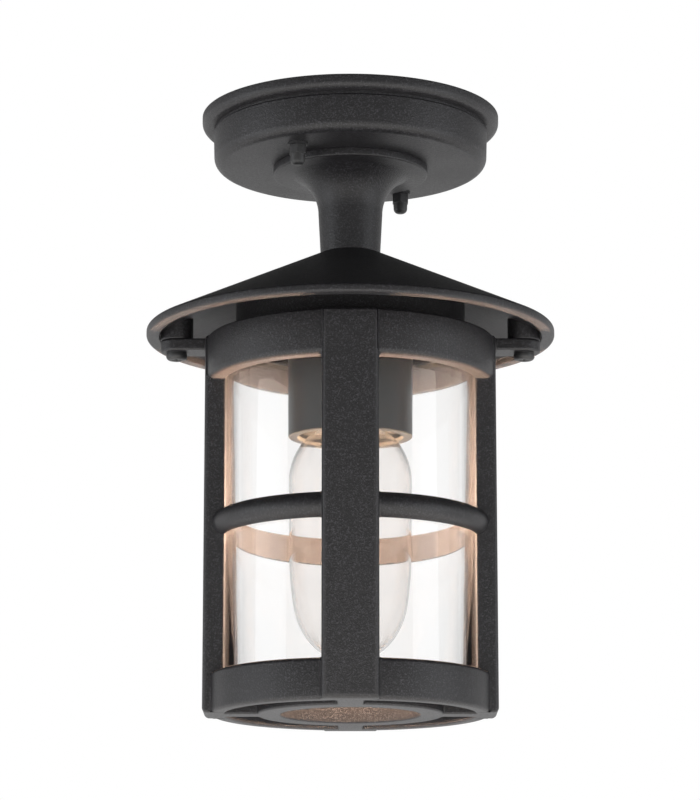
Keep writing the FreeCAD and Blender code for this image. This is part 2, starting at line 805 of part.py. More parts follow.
def lampholder_contact():
    """A sprung tongue, riveted to the socket's floor at one side and bent over the middle."""
    body = new_body("lampholder_contact")
    thick = size("tongue_thickness")
    reach = size("tongue_reach")
    low = BUTTON_TOP + size("tongue_gap")
    strip = new_sketch(body, "XZ_Plane")
    outline(strip, [
        (reach, HOLDER_FLOOR), (reach, HOLDER_FLOOR - thick), (reach / 2, HOLDER_FLOOR - thick),
        (reach / 4, low), (-reach / 4, low), (-reach / 4, low + thick),
        (reach / 4 + thick / 2, low + thick), (reach / 2 - thick / 2, HOLDER_FLOOR),
    ])
    feature(body, "PartDesign::Pad", strip, Length=size("tongue_width"), SideType="Symmetric")


# Cage, glass and gaskets. The cage is one casting, drawn as its members, which meet on flat faces.

def cage_arcs(label, points):
    """A turned member of the cage, left as four arcs between the posts."""
    body = new_body(label)
    revolve(body, points)
    gaps = new_sketch(body, "XY_Plane", CAGE_BOTTOM)
    half, reach = size("post_width") / 2, POST_FACE + size("post_round")
    rectangle(gaps, reach / 2, 0, reach, half * 2)
    around(body, [pocket(body, gaps, size("cage_height"), up=True)], 4)
    return body


def cage_top_band():
    """The band that takes the ears, out to the posts' faces."""
    outer, bore, edge = POST_FACE, CAGE_BORE, size("band_round")
    foot = CAGE_TOP - size("top_band_height")
    cage_arcs("cage_top_band", [
        (bore, foot),
        (outer - edge, foot),
        (outer, foot + edge, edge, 1),
        (outer, CAGE_TOP - edge / 2),
        (outer - edge / 2, CAGE_TOP, edge / 2, 1),
        (bore, CAGE_TOP),
    ])


def cage_middle_ring():
    """A ring that is half-round outside and flat towards the glass."""
    bore, outer, half = CAGE_BORE, CAGE_RADIUS, size("middle_ring_height") / 2
    middle = CAGE_BOTTOM + size("middle_ring_centre")
    bulge = outer - bore
    bend = (bulge * bulge + half * half) / (bulge * 2)
    cage_arcs("cage_middle_ring",
              [(bore, middle - half), (outer, middle, bend, 1), (bore, middle + half, bend, 1)])


def cage_bottom_band():
    """The band and, inside it, the stepped ledge that the glass stands on."""
    outer, bore, edge = CAGE_RADIUS, CAGE_BORE, size("band_round")
    top = CAGE_BOTTOM + size("bottom_band_height")
    slot_outer, recess_top = CAGE_BORE - size("slot_setback"), CAGE_BOTTOM + size("slot_recess_depth")
    cage_arcs("cage_bottom_band", [
        (slot_outer, CAGE_BOTTOM),
        (outer - edge, CAGE_BOTTOM),
        (outer, CAGE_BOTTOM + edge, edge, 1),
        (outer, top - edge),
        (outer - edge, top, edge, 1),
        (bore, top),
        (bore, BASE_TOP),
        (LEDGE_INNER, BASE_TOP),
        (LEDGE_INNER, recess_top),
        (slot_outer, recess_top),
    ])


def cage_posts():
    """Posts with a flat face, rounded edges and a hollow back that follows the bore, each on its spoke."""
    body = new_body("cage_posts")
    half, spoke, edge = size("post_width") / 2, size("spoke_width") / 2, size("post_round")
    bore, hole = CAGE_BORE, size("base_hole_radius")
    root = leg(bore, half)
    post = new_sketch(body, "XY_Plane", CAGE_BOTTOM)
    outline(post, [
        (root, -half, bore, -1),
        (POST_FACE - edge, -half),
        (POST_FACE, -half + edge, edge, 1),
        (POST_FACE, half - edge),
        (POST_FACE - edge, half, edge, 1),
        (root, half),
    ])
    post_pad = pad(body, post, size("cage_height"))
    ledge = new_sketch(body, "XY_Plane", CAGE_BOTTOM)
    ledge_end = leg(LEDGE_INNER, half)
    outline(ledge, [(ledge_end, -half, LEDGE_INNER, -1), (bore, -half), (bore, half), (ledge_end, half)])
    ledge_pad = pad(body, ledge, size("base_thickness"))
    foot = new_sketch(body, "XY_Plane", CAGE_BOTTOM)
    spoke_end = leg(hole, spoke)
    outline(foot, [(spoke_end, -spoke, hole, -1), (bore, -spoke), (bore, spoke), (spoke_end, spoke)])
    foot_pad = pad(body, foot, size("base_thickness"))
    around(body, [post_pad, ledge_pad, foot_pad], 4)
    recess = new_sketch(body, "XY_Plane", CAGE_BOTTOM)
    near, far = leg(size("base_ring_radius"), spoke), leg(CAGE_BORE - size("slot_setback"), spoke)
    outline(recess, [
        (near, spoke, size("base_ring_radius"), -1),
        (far, spoke),
        (spoke, far, CAGE_BORE - size("slot_setback"), 1),
        (spoke, near),
    ])
    around(body, [pocket(body, recess, size("slot_recess_depth"), up=True)], 4)
    chamfer_hole(body)


def chamfer_hole(body):
    """The bevel round the foot of the base hole."""
    hole, chamfer = size("base_hole_radius"), size("base_hole_chamfer")
    revolve(body, [
        (hole - chamfer, CAGE_BOTTOM),
        (hole + chamfer, CAGE_BOTTOM),
        (hole - chamfer, CAGE_BOTTOM + chamfer * 2),
    ], "PartDesign::Groove")


def cage_base_ring():
    """The ring round the base hole, left as four arcs between the spokes."""
    body = new_body("cage_base_ring")
    hole, outer, half = size("base_hole_radius"), size("base_ring_radius"), size("spoke_width") / 2
    revolve(body, [(hole, CAGE_BOTTOM), (outer, CAGE_BOTTOM), (outer, BASE_TOP), (hole, BASE_TOP)])
    gaps = new_sketch(body, "XY_Plane", CAGE_BOTTOM)
    rectangle(gaps, CAGE_BORE / 2, 0, CAGE_BORE, half * 2)
    around(body, [pocket(body, gaps, size("base_thickness"), up=True)], 4)
    chamfer_hole(body)


def cage_ears():
    """Ears with round ends on the two side posts, and the screws' clearance holes."""
    body = new_body("cage_ears")
    half, far = size("ear_width") / 2, SCREW_DISTANCE
    ear = new_sketch(body, "XY_Plane", EAR_UNDERSIDE)
    outline(ear, [
        (POST_FACE, -half),
        (far, -half),
        (far + half, 0, half, 1),
        (far, half, half, 1),
        (POST_FACE, half),
    ])
    around(body, [pad(body, ear, size("ear_thickness"))], 2)
    holes = new_sketch(body, "XY_Plane", CAGE_TOP)
    for side in (-1, 1):
        circle(holes, far * side, 0, size("stud_radius") + size("ear_hole_clearance"))
    pocket(body, holes, size("ear_thickness"))


def glass_cylinder():
    inner = size("glass_radius") - size("glass_wall")
    ring("glass_cylinder", inner, size("glass_radius"), GLASS_BOTTOM, GLASS_TOP, size("glass_edge_round"))


def glass_gaskets():
    """Flat rings below and above the glass."""
    gap = size("gasket_side_gap")
    ring("lower_glass_gasket", LEDGE_INNER + gap, CAGE_BORE - gap, BASE_TOP, GLASS_BOTTOM)
    inner = size("glass_radius") - size("glass_wall")
    ring("upper_glass_gasket", inner - gap, size("glass_radius") + gap, GLASS_TOP, COLLAR_BOTTOM)


# Screws and nuts that a hand undoes

def pan_head_screw(label, x):
    """An M5 pan head screw, head down, with a cross recess."""
    body = new_body(label)
    shank, head, edge = size("stud_radius"), size("screw_head_radius"), size("screw_head_round")
    tip, face = CAGE_TOP + size("screw_engagement"), SCREW_SEAT - size("screw_head_height")
    revolve(body, [
        (0, tip),
        (shank, tip),
        (shank, SCREW_SEAT),
        (head, SCREW_SEAT),
        (head, face + edge),
        (head - edge, face, edge, -1),
        (0, face),
    ])
    arm, half = size("cross_slot_length") / 2, size("cross_slot_width") / 2
    cross = new_sketch(body, "XY_Plane", face)
    outline(cross, [
        (arm, -half), (arm, half), (half, half), (half, arm), (-half, arm), (-half, half),
        (-arm, half), (-arm, -half), (-half, -half), (-half, -arm), (half, -arm), (half, -half),
    ])
    pocket(body, cross, size("cross_slot_depth"), up=True)
    move_to(body, x, 0)


def cap_nut(label, x, y):
    """An M5 cap nut: a hexagon, a slightly tapered dome and a blind hole."""
    body = new_body(label)
    hex_foot = NUT_SEAT - size("cap_hex_height")
    tip = hex_foot - size("cap_dome_height")
    dome, edge, chamfer = size("cap_dome_radius"), size("cap_dome_round"), size("hex_corner_chamfer")
    hexagonal = new_sketch(body, "XY_Plane", NUT_SEAT)
    hexagon(hexagonal, size("hex_across_flats"))
    pad(body, hexagonal, size("cap_hex_height"), down=True)
    corner = size("hex_across_flats") / HEX_FACTOR
    revolve(body, [
        (corner - chamfer, hex_foot),
        (corner + chamfer, hex_foot),
        (corner + chamfer, hex_foot + chamfer * 2),
    ], "PartDesign::Groove")
    narrow = dome - size("cap_dome_taper")
    revolve(body, [
        (0, hex_foot),
        (dome, hex_foot),
        (narrow, tip + edge),
        (narrow - edge, tip, edge, -1),
        (0, tip),
    ])
    hole = new_sketch(body, "XY_Plane", NUT_SEAT)
    circle(hole, 0, 0, STUD_HOLE)
    pocket(body, hole, size("stud_below_pan") - size("nut_washer_thickness") + size("cap_tip_gap"))
    move_to(body, x, y)


def ear_fasteners():
    for name, side in (("left", -1), ("right", 1)):
        x = SCREW_DISTANCE * side
        washer = ring(f"ear_washer_{name}", STUD_HOLE, size("screw_washer_radius"), SCREW_SEAT, EAR_UNDERSIDE)
        move_to(washer, x, 0)
        pan_head_screw(f"ear_screw_{name}", x)


def pan_fasteners():
    angle = math.radians(SIZES["bracket_angle"])
    for name, side in (("near", -1), ("far", 1)):
        x = size("stud_circle_radius") * (side * math.cos(angle))
        y = size("stud_circle_radius") * (side * math.sin(angle))
        washer = ring(f"nut_washer_{name}", STUD_HOLE, size("nut_washer_radius"), NUT_SEAT, PAN_UNDERSIDE)
        move_to(washer, x, y)
        cap_nut(f"cap_nut_{name}", x, y)


# Lamp

def lamp_cap():
    """A thin metal cup that screws into the shell, open downwards to the glass."""
    body = new_body("lamp_cap")
    outer, wall, shoulder = size("cap_radius"), size("cap_wall"), size("cap_shoulder")
    revolve(body, [
        (outer - wall, HOLDER_MOUTH),
        (outer, HOLDER_MOUTH),
        (outer, CAP_TOP - shoulder),
        (outer - shoulder, CAP_TOP),
        (size("insulator_radius"), CAP_TOP),
        (size("insulator_radius"), CAP_TOP - wall),
        (outer - shoulder - wall / 2, CAP_TOP - wall),
        (outer - wall, CAP_TOP - shoulder - wall / 2),
    ])


def lamp_insulator():
    body = new_body("lamp_insulator")
    revolve(body, [
        (0, CAP_TOP - size("cap_wall")),
        (size("insulator_radius"), CAP_TOP - size("cap_wall")),
        (size("insulator_radius"), CAP_TOP),
        (size("insulator_top_radius"), INSULATOR_TOP),
        (0, INSULATOR_TOP),
    ])


def lamp_contact():
    body = new_body("lamp_contact")
    revolve(body, [
        (0, INSULATOR_TOP),
        (size("button_radius"), INSULATOR_TOP),
        (size("button_radius"), BUTTON_TOP - size("button_height") / 2),
        (size("button_radius") - size("button_height") / 2, BUTTON_TOP),
        (0, BUTTON_TOP),
    ])


def lamp_envelope():
    """The blown bulb: neck, throat, shoulder, nearly straight side and a round end."""
    body = new_body("lamp_envelope")
    wall = size("lamp_wall")
    shoulder = HOLDER_MOUTH - size("lamp_shoulder_drop")
    throat = HOLDER_MOUTH - size("lamp_throat_drop")
    neck_top, neck_end = HOLDER_MOUTH + size("lamp_neck_inside"), HOLDER_MOUTH - size("lamp_neck_drop")
    side, waist = LAMP_TIP + size("lamp_side_rise"), LAMP_TIP + size("lamp_waist_rise")
    tip = LAMP_TIP + size("lamp_tip_rise")
    revolve(body, [
        (size("lamp_neck_radius"), neck_top),
        (size("lamp_neck_radius"), neck_end),
        (size("lamp_throat_radius"), throat, size("lamp_throat_bend"), 1),
        (size("lamp_radius"), shoulder, size("lamp_shoulder_bend"), -1),
        (size("lamp_radius"), side),
        (size("lamp_waist_radius"), waist, size("lamp_side_bend"), -1),
        (size("lamp_tip_radius"), tip, size("lamp_waist_bend"), -1),
        (0, LAMP_TIP, size("lamp_tip_bend"), -1),
        (0, LAMP_TIP + wall),
        (size("lamp_tip_radius") - wall / 2, tip + wall, size("lamp_tip_bend"), 1),
        (size("lamp_waist_radius") - wall, waist, size("lamp_waist_bend"), 1),
        (size("lamp_radius") - wall, side, size("lamp_side_bend"), 1),
        (size("lamp_radius") - wall, shoulder),
        (size("lamp_throat_radius") - wall, throat - wall / 2, size("lamp_shoulder_bend"), 1),
        (size("lamp_neck_radius") - wall, neck_end, size("lamp_throat_bend"), -1),
        (size("lamp_neck_radius") - wall, neck_top),
    ])


def lamp_mount():
    """The glass stem inside the bulb, flared to seal against the neck."""
    body = new_body("lamp_mount")
    top = HOLDER_MOUTH + size("lamp_neck_inside")
    flare = size("lamp_neck_radius") - size("lamp_wall") - size("shell_clearance")
    thick = size("mount_flare_thickness")
    revolve(body, [
        (0, top),
        (flare, top),
        (flare, top - thick),
        (size("mount_radius"), HOLDER_MOUTH),
        (size("mount_tip_radius"), HOLDER_MOUTH - size("mount_length")),
        (0, HOLDER_MOUTH - size("mount_length")),
    ])


FILAMENT_LEVEL = HOLDER_MOUTH - size("mount_length") - size("lead_drop")


def lamp_leads():
    """Two wires that spread from the mount's tip to the ends of the filament."""
    body = new_body("lamp_leads")
    wires = new_sketch(body, "XZ_Plane")
    thick = size("lead_thickness")
    start, far = HOLDER_MOUTH - size("mount_length"), size("filament_radius")
    root = size("mount_tip_radius") - thick
    for side in (-1, 1):
        outline(wires, [
            (root * side, start),
            ((root - thick) * side, start),
            ((far - thick) * side, FILAMENT_LEVEL),
            (far * side, FILAMENT_LEVEL),
        ])
    feature(body, "PartDesign::Pad", wires, Length=thick, SideType="Symmetric")


def lamp_filament():
    """Half a turn of wire from one lead to the other."""
    filament = doc.addObject("Part::Torus", "lamp_filament")
    filament.Label = "lamp_filament"
    PIECES.append(filament)
    wire = size("filament_wire_radius")
    radius = size("filament_radius") - size("lead_thickness") / 2
    level = FILAMENT_LEVEL - wire
    filament.setExpression("Radius1", radius.text)
    filament.setExpression("Radius2", wire.text)
    filament.Angle3 = 180.0
    filament.Placement = FreeCAD.Placement(V(0, 0, level.value), FreeCAD.Rotation())
    filament.setExpression("Placement.Base.z", level.text)


def build_all():
    for make in (
        ceiling_pan, pan_gasket, mounting_bracket, bracket_studs, stud_nuts, earth_screw,
        terminal_block, terminal_screws, stem, stem_screws, threaded_tube, tube_locknuts,
        roof, roof_collar, lampholder_cover, lampholder_body, lampholder_shell, lampholder_contact,
        cage_posts, cage_top_band, cage_middle_ring, cage_bottom_band, cage_base_ring, cage_ears,
        glass_cylinder, glass_gaskets, ear_fasteners, pan_fasteners,
        lamp_cap, lamp_insulator, lamp_contact, lamp_envelope, lamp_mount, lamp_leads, lamp_filament,
    ):
        make()
        doc.recompute()


def check_all():
    """Stops before anything is written if an object or a piece is not sound."""
    for item in doc.Objects:
        if "Invalid" in item.State or "Error" in item.State:
            raise RuntimeError(f"{item.Label} failed: {item.State} {item.getStatusString()}")
    for piece in PIECES:
        if piece.Shape.isNull() or not piece.Shape.isValid() or not piece.Shape.Solids:
            raise RuntimeError(f"{piece.Label} has no sound solid")


def write_all():
    os.makedirs("parts", exist_ok=True)
    for piece in PIECES:
        piece.Shape.exportStep(f"parts/{piece.Label}.step")
        box = piece.Shape.BoundBox
        print(f"{piece.Label}: {len(piece.Shape.Solids)} solid(s), {piece.Shape.Volume / 1000.0:.2f} cm3, "
              f"z {box.ZMin:.2f} to {box.ZMax:.2f}")


build_all()
check_all()
write_all()
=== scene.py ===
"""Porch ceiling lantern: the dressed part on its frame, laid out as an add-on."""

import json
import math

import bmesh
import bpy
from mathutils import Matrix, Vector

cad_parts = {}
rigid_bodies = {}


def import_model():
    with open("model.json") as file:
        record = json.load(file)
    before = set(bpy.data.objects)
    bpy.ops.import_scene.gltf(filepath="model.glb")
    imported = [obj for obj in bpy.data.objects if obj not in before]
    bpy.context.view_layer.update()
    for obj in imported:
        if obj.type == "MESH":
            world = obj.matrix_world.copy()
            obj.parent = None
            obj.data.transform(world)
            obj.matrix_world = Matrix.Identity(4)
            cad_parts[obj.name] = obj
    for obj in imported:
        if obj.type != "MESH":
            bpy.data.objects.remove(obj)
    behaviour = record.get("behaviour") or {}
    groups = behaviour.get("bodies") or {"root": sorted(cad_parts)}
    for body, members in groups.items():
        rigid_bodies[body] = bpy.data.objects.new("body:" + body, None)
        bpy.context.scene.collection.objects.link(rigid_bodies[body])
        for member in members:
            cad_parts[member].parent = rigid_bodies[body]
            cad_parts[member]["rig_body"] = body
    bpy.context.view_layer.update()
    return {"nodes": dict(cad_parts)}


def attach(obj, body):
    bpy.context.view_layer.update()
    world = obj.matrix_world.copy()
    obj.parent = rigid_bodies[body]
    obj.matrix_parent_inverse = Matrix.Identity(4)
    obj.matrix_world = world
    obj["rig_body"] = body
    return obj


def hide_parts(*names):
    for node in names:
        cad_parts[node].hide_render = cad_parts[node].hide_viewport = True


bl_info = {
    "name": "Porch Ceiling Lantern",
    "version": (1, 0, 0),
    "blender": (4, 5, 0),
    "location": "3D View > Sidebar > Lantern",
    "description": "Models and finishes a black cast porch lantern over its frame",
    "category": "Add Mesh",
}

for leftover in list(bpy.data.objects):
    bpy.data.objects.remove(leftover)

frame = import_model()
NODES = frame["nodes"]

# Modelling is in millimetres.
MM = 0.001

# Levels, down from the ceiling.
GASKET_SEAT = -1.5
FLANGE_FOOT = -6.8
GROOVE_FOOT = -8.0
PAN_FOOT = -26.6
NUT_SEAT = -27.6
DISC_FOOT = -30.7
NECK_SOCKET = -63.8
ROOF_TOP = -71.8
HUB_FOOT = -85.0
COLLAR_SEAT = -95.39
BOSS_HOLE_END = -107.9
SCREW_END = -108.9
ROOF_FOOT = -116.2
CAGE_TOP = -116.9
EAR_FOOT = -122.9
SCREW_SEAT = -123.7
COLLAR_FOOT = -126.4
GLASS_TOP = -128.4
LAMP_NECK = -157.0
COVER_MOUTH = -168.4
MIDDLE_RING = -211.4
BAND_TOP = -285.4
GLASS_FOOT = -293.9
LEDGE = -295.4
SLOT_STEP = -299.4
CAGE_FOOT = -305.4

# Radii from the lantern's axis. The innermost one closes the poles of turned pieces.
AXIS = 0.002
TUBE_HOLE = 5.05
WIRE_HOLE = 8.0
STEM_BORE = 11.0
NECK_FOOT = 15.1
COVER_LIP = 26.0
COVER_OUTER = 30.85
HUB = 32.0
BASE_HOLE = 34.4
DISC = 39.2
SLOT_INNER = 46.0
SLOT_UPPER = 58.5
SLOT_OUTER = 62.0
COLLAR_INNER = 54.6
COLLAR_OUTER = 57.6
COLLAR_RIM = 62.3
GLASS_INNER = 59.0
GLASS_OUTER = 62.0
BORE = 63.5
GASKET_INNER = 68.35
GROOVE = 68.9
BAND_OUTER = 69.4
DRUM = 69.6
TOP_BAND_OUTER = 72.35
POST_FACE = 72.5
GASKET_OUTER = 73.35
PAN_EDGE = 75.4
LIP_INNER = 96.0
ROOF_EDGE = 102.5

# Heights, widths, walls and the sizes of small parts, round ones by their radius.
PAN_WALL = 2.5
COVER_WALL = 2.4
ROOF_SLOPE = 40.5 / 87.4
ROOF_WALL = 3.9
TOP_BAND_HEIGHT = 22.0
RING_HALF = 6.35
RING_ROUND = 6.367
POST_HALF = 13.75
SPOKE_HALF = 6.35
BOSS = 8.2
BOSS_HOLE = 2.6
EAR_HOLE = 2.8
WASHER_GAP = 0.03
SCREW_DISTANCE = 87.3
SCREW_SHANK = 2.5
SCREW_HEAD = 5.3
HEAD_HEIGHT = 2.9
RECESS_DEPTH = 1.7
NUT_FLATS = 8.0
NUT_HEXAGON = 4.8
NUT_HEIGHT = 10.2
NUT_DOME = 3.7
NUT_HOLE = 2.55
NEAR_NUT = (-26.1, -45.207)

# Faces round the turned pieces that don't follow the user's number of them.
HOLE_STEPS = 48
SMALL_STEPS = 64
LAMP_STEPS = 128
GLASS_STEPS = 192

# Widths of the softened edges on small steel, in metres. Softening moves a corner at most the first share
# of its width, and at most the second share out of the old surface.
NUT_EDGE = 0.00018
SCREW_EDGE = 0.00012
SOFTENED_MOVE = 0.46
SOFTENED_RISE = 0.2

# Extruding leaves edges and faces in no fixed order, so they are sorted by their distance from this place,
# in metres. It lies on no line of symmetry, so no two of them are equally far from it.
SORTING_PLACE = (0.31, 0.17, 0.53)

# The stage, in metres and degrees.
LANTERN_MIDDLE = (0, 0, -0.17)
LAMP_MIDDLE = (0, 0, -0.207)
CAMERA_PLACE = (-0.0002, -1.597, -0.489)
CAMERA_RISE = 12.09
FLOOR_EDGE = 3.3
FLOOR_FADE = 0.8
FLOOR_GLOW = 0.7
COOL_TONE = (0.93, 0.96, 1.0)
WARM_TONE = (1.0, 0.97, 0.93)
LAMP_TONE = (1.0, 0.71, 0.47)


# Sections

def rounded(points, steps=6):
    """A section whose points may carry a rounding: (radius, level, rounding)."""
    result = []
    for i, point in enumerate(points):
        corner = Vector(point[:2])
        if len(point) == 2:
            result.append(tuple(corner))
            continue
        before = (Vector(points[i - 1][:2]) - corner).normalized()
        after = (Vector(points[(i + 1) % len(points)][:2]) - corner).normalized()
        half = before.angle(after) / 2
        run = point[2] / math.tan(half)
        centre = corner + (before + after).normalized() * (point[2] / math.sin(half))
        first, last = corner + before * run - centre, corner + after * run - centre
        turn = math.atan2(first.x * last.y - first.y * last.x, first.dot(last))
        result += [tuple(centre + turned_by(first, turn * k / steps)) for k in range(steps + 1)]
    return result


def turned_by(vector, angle):
    """A vector of two parts, turned to the left."""
    c, s = math.cos(angle), math.sin(angle)
    return Vector((vector.x * c - vector.y * s, vector.x * s + vector.y * c))


def arc(start, end, radius, bend, steps=8):
    """The points of an arc after start, up to end. A bend of 1 turns left on the way, -1 turns right."""
    start, end = Vector(start), Vector(end)
    chord = end - start
    rise = math.sqrt(max(radius * radius - chord.length_squared / 4, 0.0))
    centre = (start + end) / 2 + Vector((-chord.y, chord.x)).normalized() * rise * bend
    sweep = 2 * math.asin(min(chord.length / (2 * radius), 1.0)) * bend
    return [tuple(centre + turned_by(start - centre, sweep * k / steps)) for k in range(1, steps + 1)]


def roof_level(radius):
    """The level of the cone's outer surface."""
    return ROOF_TOP - (radius - NECK_FOOT) * ROOF_SLOPE


def under_roof(radius):
    """A point on the cone's inner surface."""
    return radius, roof_level(radius) - ROOF_WALL


# Modelling by hand

def shape():
    """The sizes that a user may change."""
    return bpy.context.scene.lantern_shape


def select_only(piece):
    """Selects the piece alone and makes it the active one."""
    bpy.ops.object.select_all(action="DESELECT")
    piece.select_set(True)
    bpy.context.view_layer.objects.active = piece


def settle(piece):
    """Closes the poles, turns and sorts the faces, and puts the piece's place in its mesh."""
    select_only(piece)
    bpy.ops.object.mode_set(mode="EDIT")
    bpy.ops.mesh.select_all(action="SELECT")
    bpy.ops.mesh.remove_doubles(threshold=0.008 * MM)
    bpy.ops.mesh.normals_make_consistent(inside=False)
    bpy.context.scene.cursor.location = SORTING_PLACE
    bpy.ops.mesh.sort_elements(type="CURSOR_DISTANCE", elements={"EDGE", "FACE"})
    bpy.ops.object.mode_set(mode="OBJECT")
    bpy.ops.object.transform_apply(location=True, rotation=True, scale=True)
    bpy.ops.object.shade_smooth_by_angle(angle=math.radians(32.0))
    return piece


def turned(name, section, centre=(0.0, 0.0), steps=None):
    """Turns a section about an upright axis: a ring is extruded from each point to the next.

    A section that starts and ends on the axis is a solid; any other goes back to its first point.
    """
    steps = steps or shape().turning_steps
    section = [(max(radius, AXIS), level) for radius, level in section]
    if section[0][0] > AXIS:
        section.append(section[0])
    x, y = centre[0] * MM, centre[1] * MM
    radius, level = section[0]
    bpy.ops.object.select_all(action="DESELECT")
    bpy.ops.mesh.primitive_circle_add(vertices=steps, radius=radius * MM, location=(x, y, level * MM))
    piece = bpy.context.object
    piece.name = name
    bpy.ops.object.mode_set(mode="EDIT")
    for next_radius, next_level in section[1:]:
        drop = (next_level - level) * MM
        bpy.ops.mesh.extrude_region_move(TRANSFORM_OT_translate={"value": (0, 0, drop)})
        scale = next_radius / radius
        bpy.ops.transform.resize(value=(scale, scale, 1.0), center_override=(x, y, next_level * MM))
        radius, level = next_radius, next_level
    bpy.ops.object.mode_set(mode="OBJECT")
    return settle(piece)


def block(name, low, high, rounding=0.0, outer_edges=None, segments=6):
    """A box between two corners. outer_edges picks the edges to round, by the places of their ends."""
    low, high = Vector(low) * MM, Vector(high) * MM
    bpy.ops.object.select_all(action="DESELECT")
    bpy.ops.mesh.primitive_cube_add(size=1.0, location=(low + high) / 2)
    piece = bpy.context.object
    piece.name = name
    bpy.ops.object.mode_set(mode="EDIT")
    bpy.ops.transform.resize(value=(high - low), center_override=(low + high) / 2)
    bpy.ops.object.mode_set(mode="OBJECT")
    bpy.ops.object.transform_apply(location=True)
    if rounding:
        select_edges(piece, lambda a, b: outer_edges(a / MM, b / MM))
        bpy.ops.mesh.bevel(offset=rounding * MM, segments=segments, affect="EDGES")
        bpy.ops.object.mode_set(mode="OBJECT")
    return piece


def select_edges(piece, wanted):
    """Selects the edges whose two ends pass a test, and leaves the piece in edit mode."""
    select_only(piece)
    bpy.ops.object.mode_set(mode="EDIT")
    bpy.ops.mesh.select_mode(type="EDGE")
    bpy.ops.mesh.select_all(action="DESELECT")
    mesh = bmesh.from_edit_mesh(piece.data)
    for edge in mesh.edges:
        edge.select_set(bool(wanted(edge.verts[0].co, edge.verts[1].co)))
    mesh.select_flush_mode()
    bmesh.update_edit_mesh(piece.data)


def combine(piece, tools, operation):
    """Adds the tools to the piece, cuts them out of it, or keeps what it shares with them."""
    for tool in tools:
        select_only(piece)
        bpy.ops.object.modifier_add(type="BOOLEAN")
        boolean = piece.modifiers[-1]
        boolean.operation = operation
        boolean.solver = "EXACT"
        boolean.object = tool
        bpy.ops.object.modifier_apply(modifier=boolean.name)
        bpy.data.objects.remove(tool)
    return piece


def copies_round(piece, count):
    """The piece and its copies, evenly about the lantern's axis, each with its own mesh."""
    copies = [piece]
    for k in range(1, count):
        select_only(piece)
        bpy.ops.object.duplicate(linked=False)
        copy = bpy.context.object
        bpy.ops.object.mode_set(mode="EDIT")
        bpy.ops.mesh.select_all(action="SELECT")
        bpy.ops.transform.rotate(value=2 * math.pi * k / count, orient_axis="Z", center_override=(0, 0, 0))
        bpy.ops.object.mode_set(mode="OBJECT")
        copies.append(copy)
    return copies


def moved_copy(piece, name, along, across=0.0):
    """A copy of the piece with its own mesh, moved level."""
    select_only(piece)
    bpy.ops.object.duplicate(linked=False)
    copy = bpy.context.object
    copy.name = name
    copy.location = (along * MM, across * MM, 0)
    return settle(copy)


def soften(piece, width):
    """Softens the sharp edges that are left, as casting and coating do.

    Where the rounding overshoots at a crowded corner, it goes back to the surface that was there.
    """
    select_only(piece)
    bpy.ops.object.duplicate(linked=False)
    sharp = bpy.context.object
    select_only(piece)
    bpy.ops.object.modifier_add(type="BEVEL")
    bevel = piece.modifiers[-1]
    bevel.width = width
    bevel.segments = 2
    bevel.limit_method = "ANGLE"
    bevel.angle_limit = math.radians(38.0)
    bevel.use_clamp_overlap = False
    bevel.miter_outer = "MITER_ARC"
    bpy.ops.object.modifier_apply(modifier=bevel.name)
    for corner in piece.data.vertices:
        found, place, normal, _ = sharp.closest_point_on_mesh(corner.co)
        gap = corner.co - place
        if found and (gap.length > width * SOFTENED_MOVE or gap.dot(normal) > width * SOFTENED_RISE):
            corner.co = place
    bpy.data.objects.remove(sharp)
    return settle(piece)


def dress(piece, nodes, slot):
    """Stands the piece in for its CAD nodes, on the body that they ride on, in the slot's finish."""
    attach(piece, NODES[nodes[0]]["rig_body"])
    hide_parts(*nodes)
    piece.data.materials.clear()
    piece.data.materials.append(slot_finish(slot))


# Finishes

class Signal:
    """One socket of a material, so that an expression on it adds the Math nodes it needs."""

    def __init__(self, graph, socket):
        self.graph, self.socket = graph, socket

    def __add__(self, other):
        return self.graph.maths("ADD", self, other)

    def __sub__(self, other):
        return self.graph.maths("SUBTRACT", self, other)

    def __mul__(self, other):
        return self.graph.maths("MULTIPLY", self, other)

    def __rsub__(self, other):
        return self.graph.maths("SUBTRACT", other, self)

    __radd__, __rmul__ = __add__, __mul__


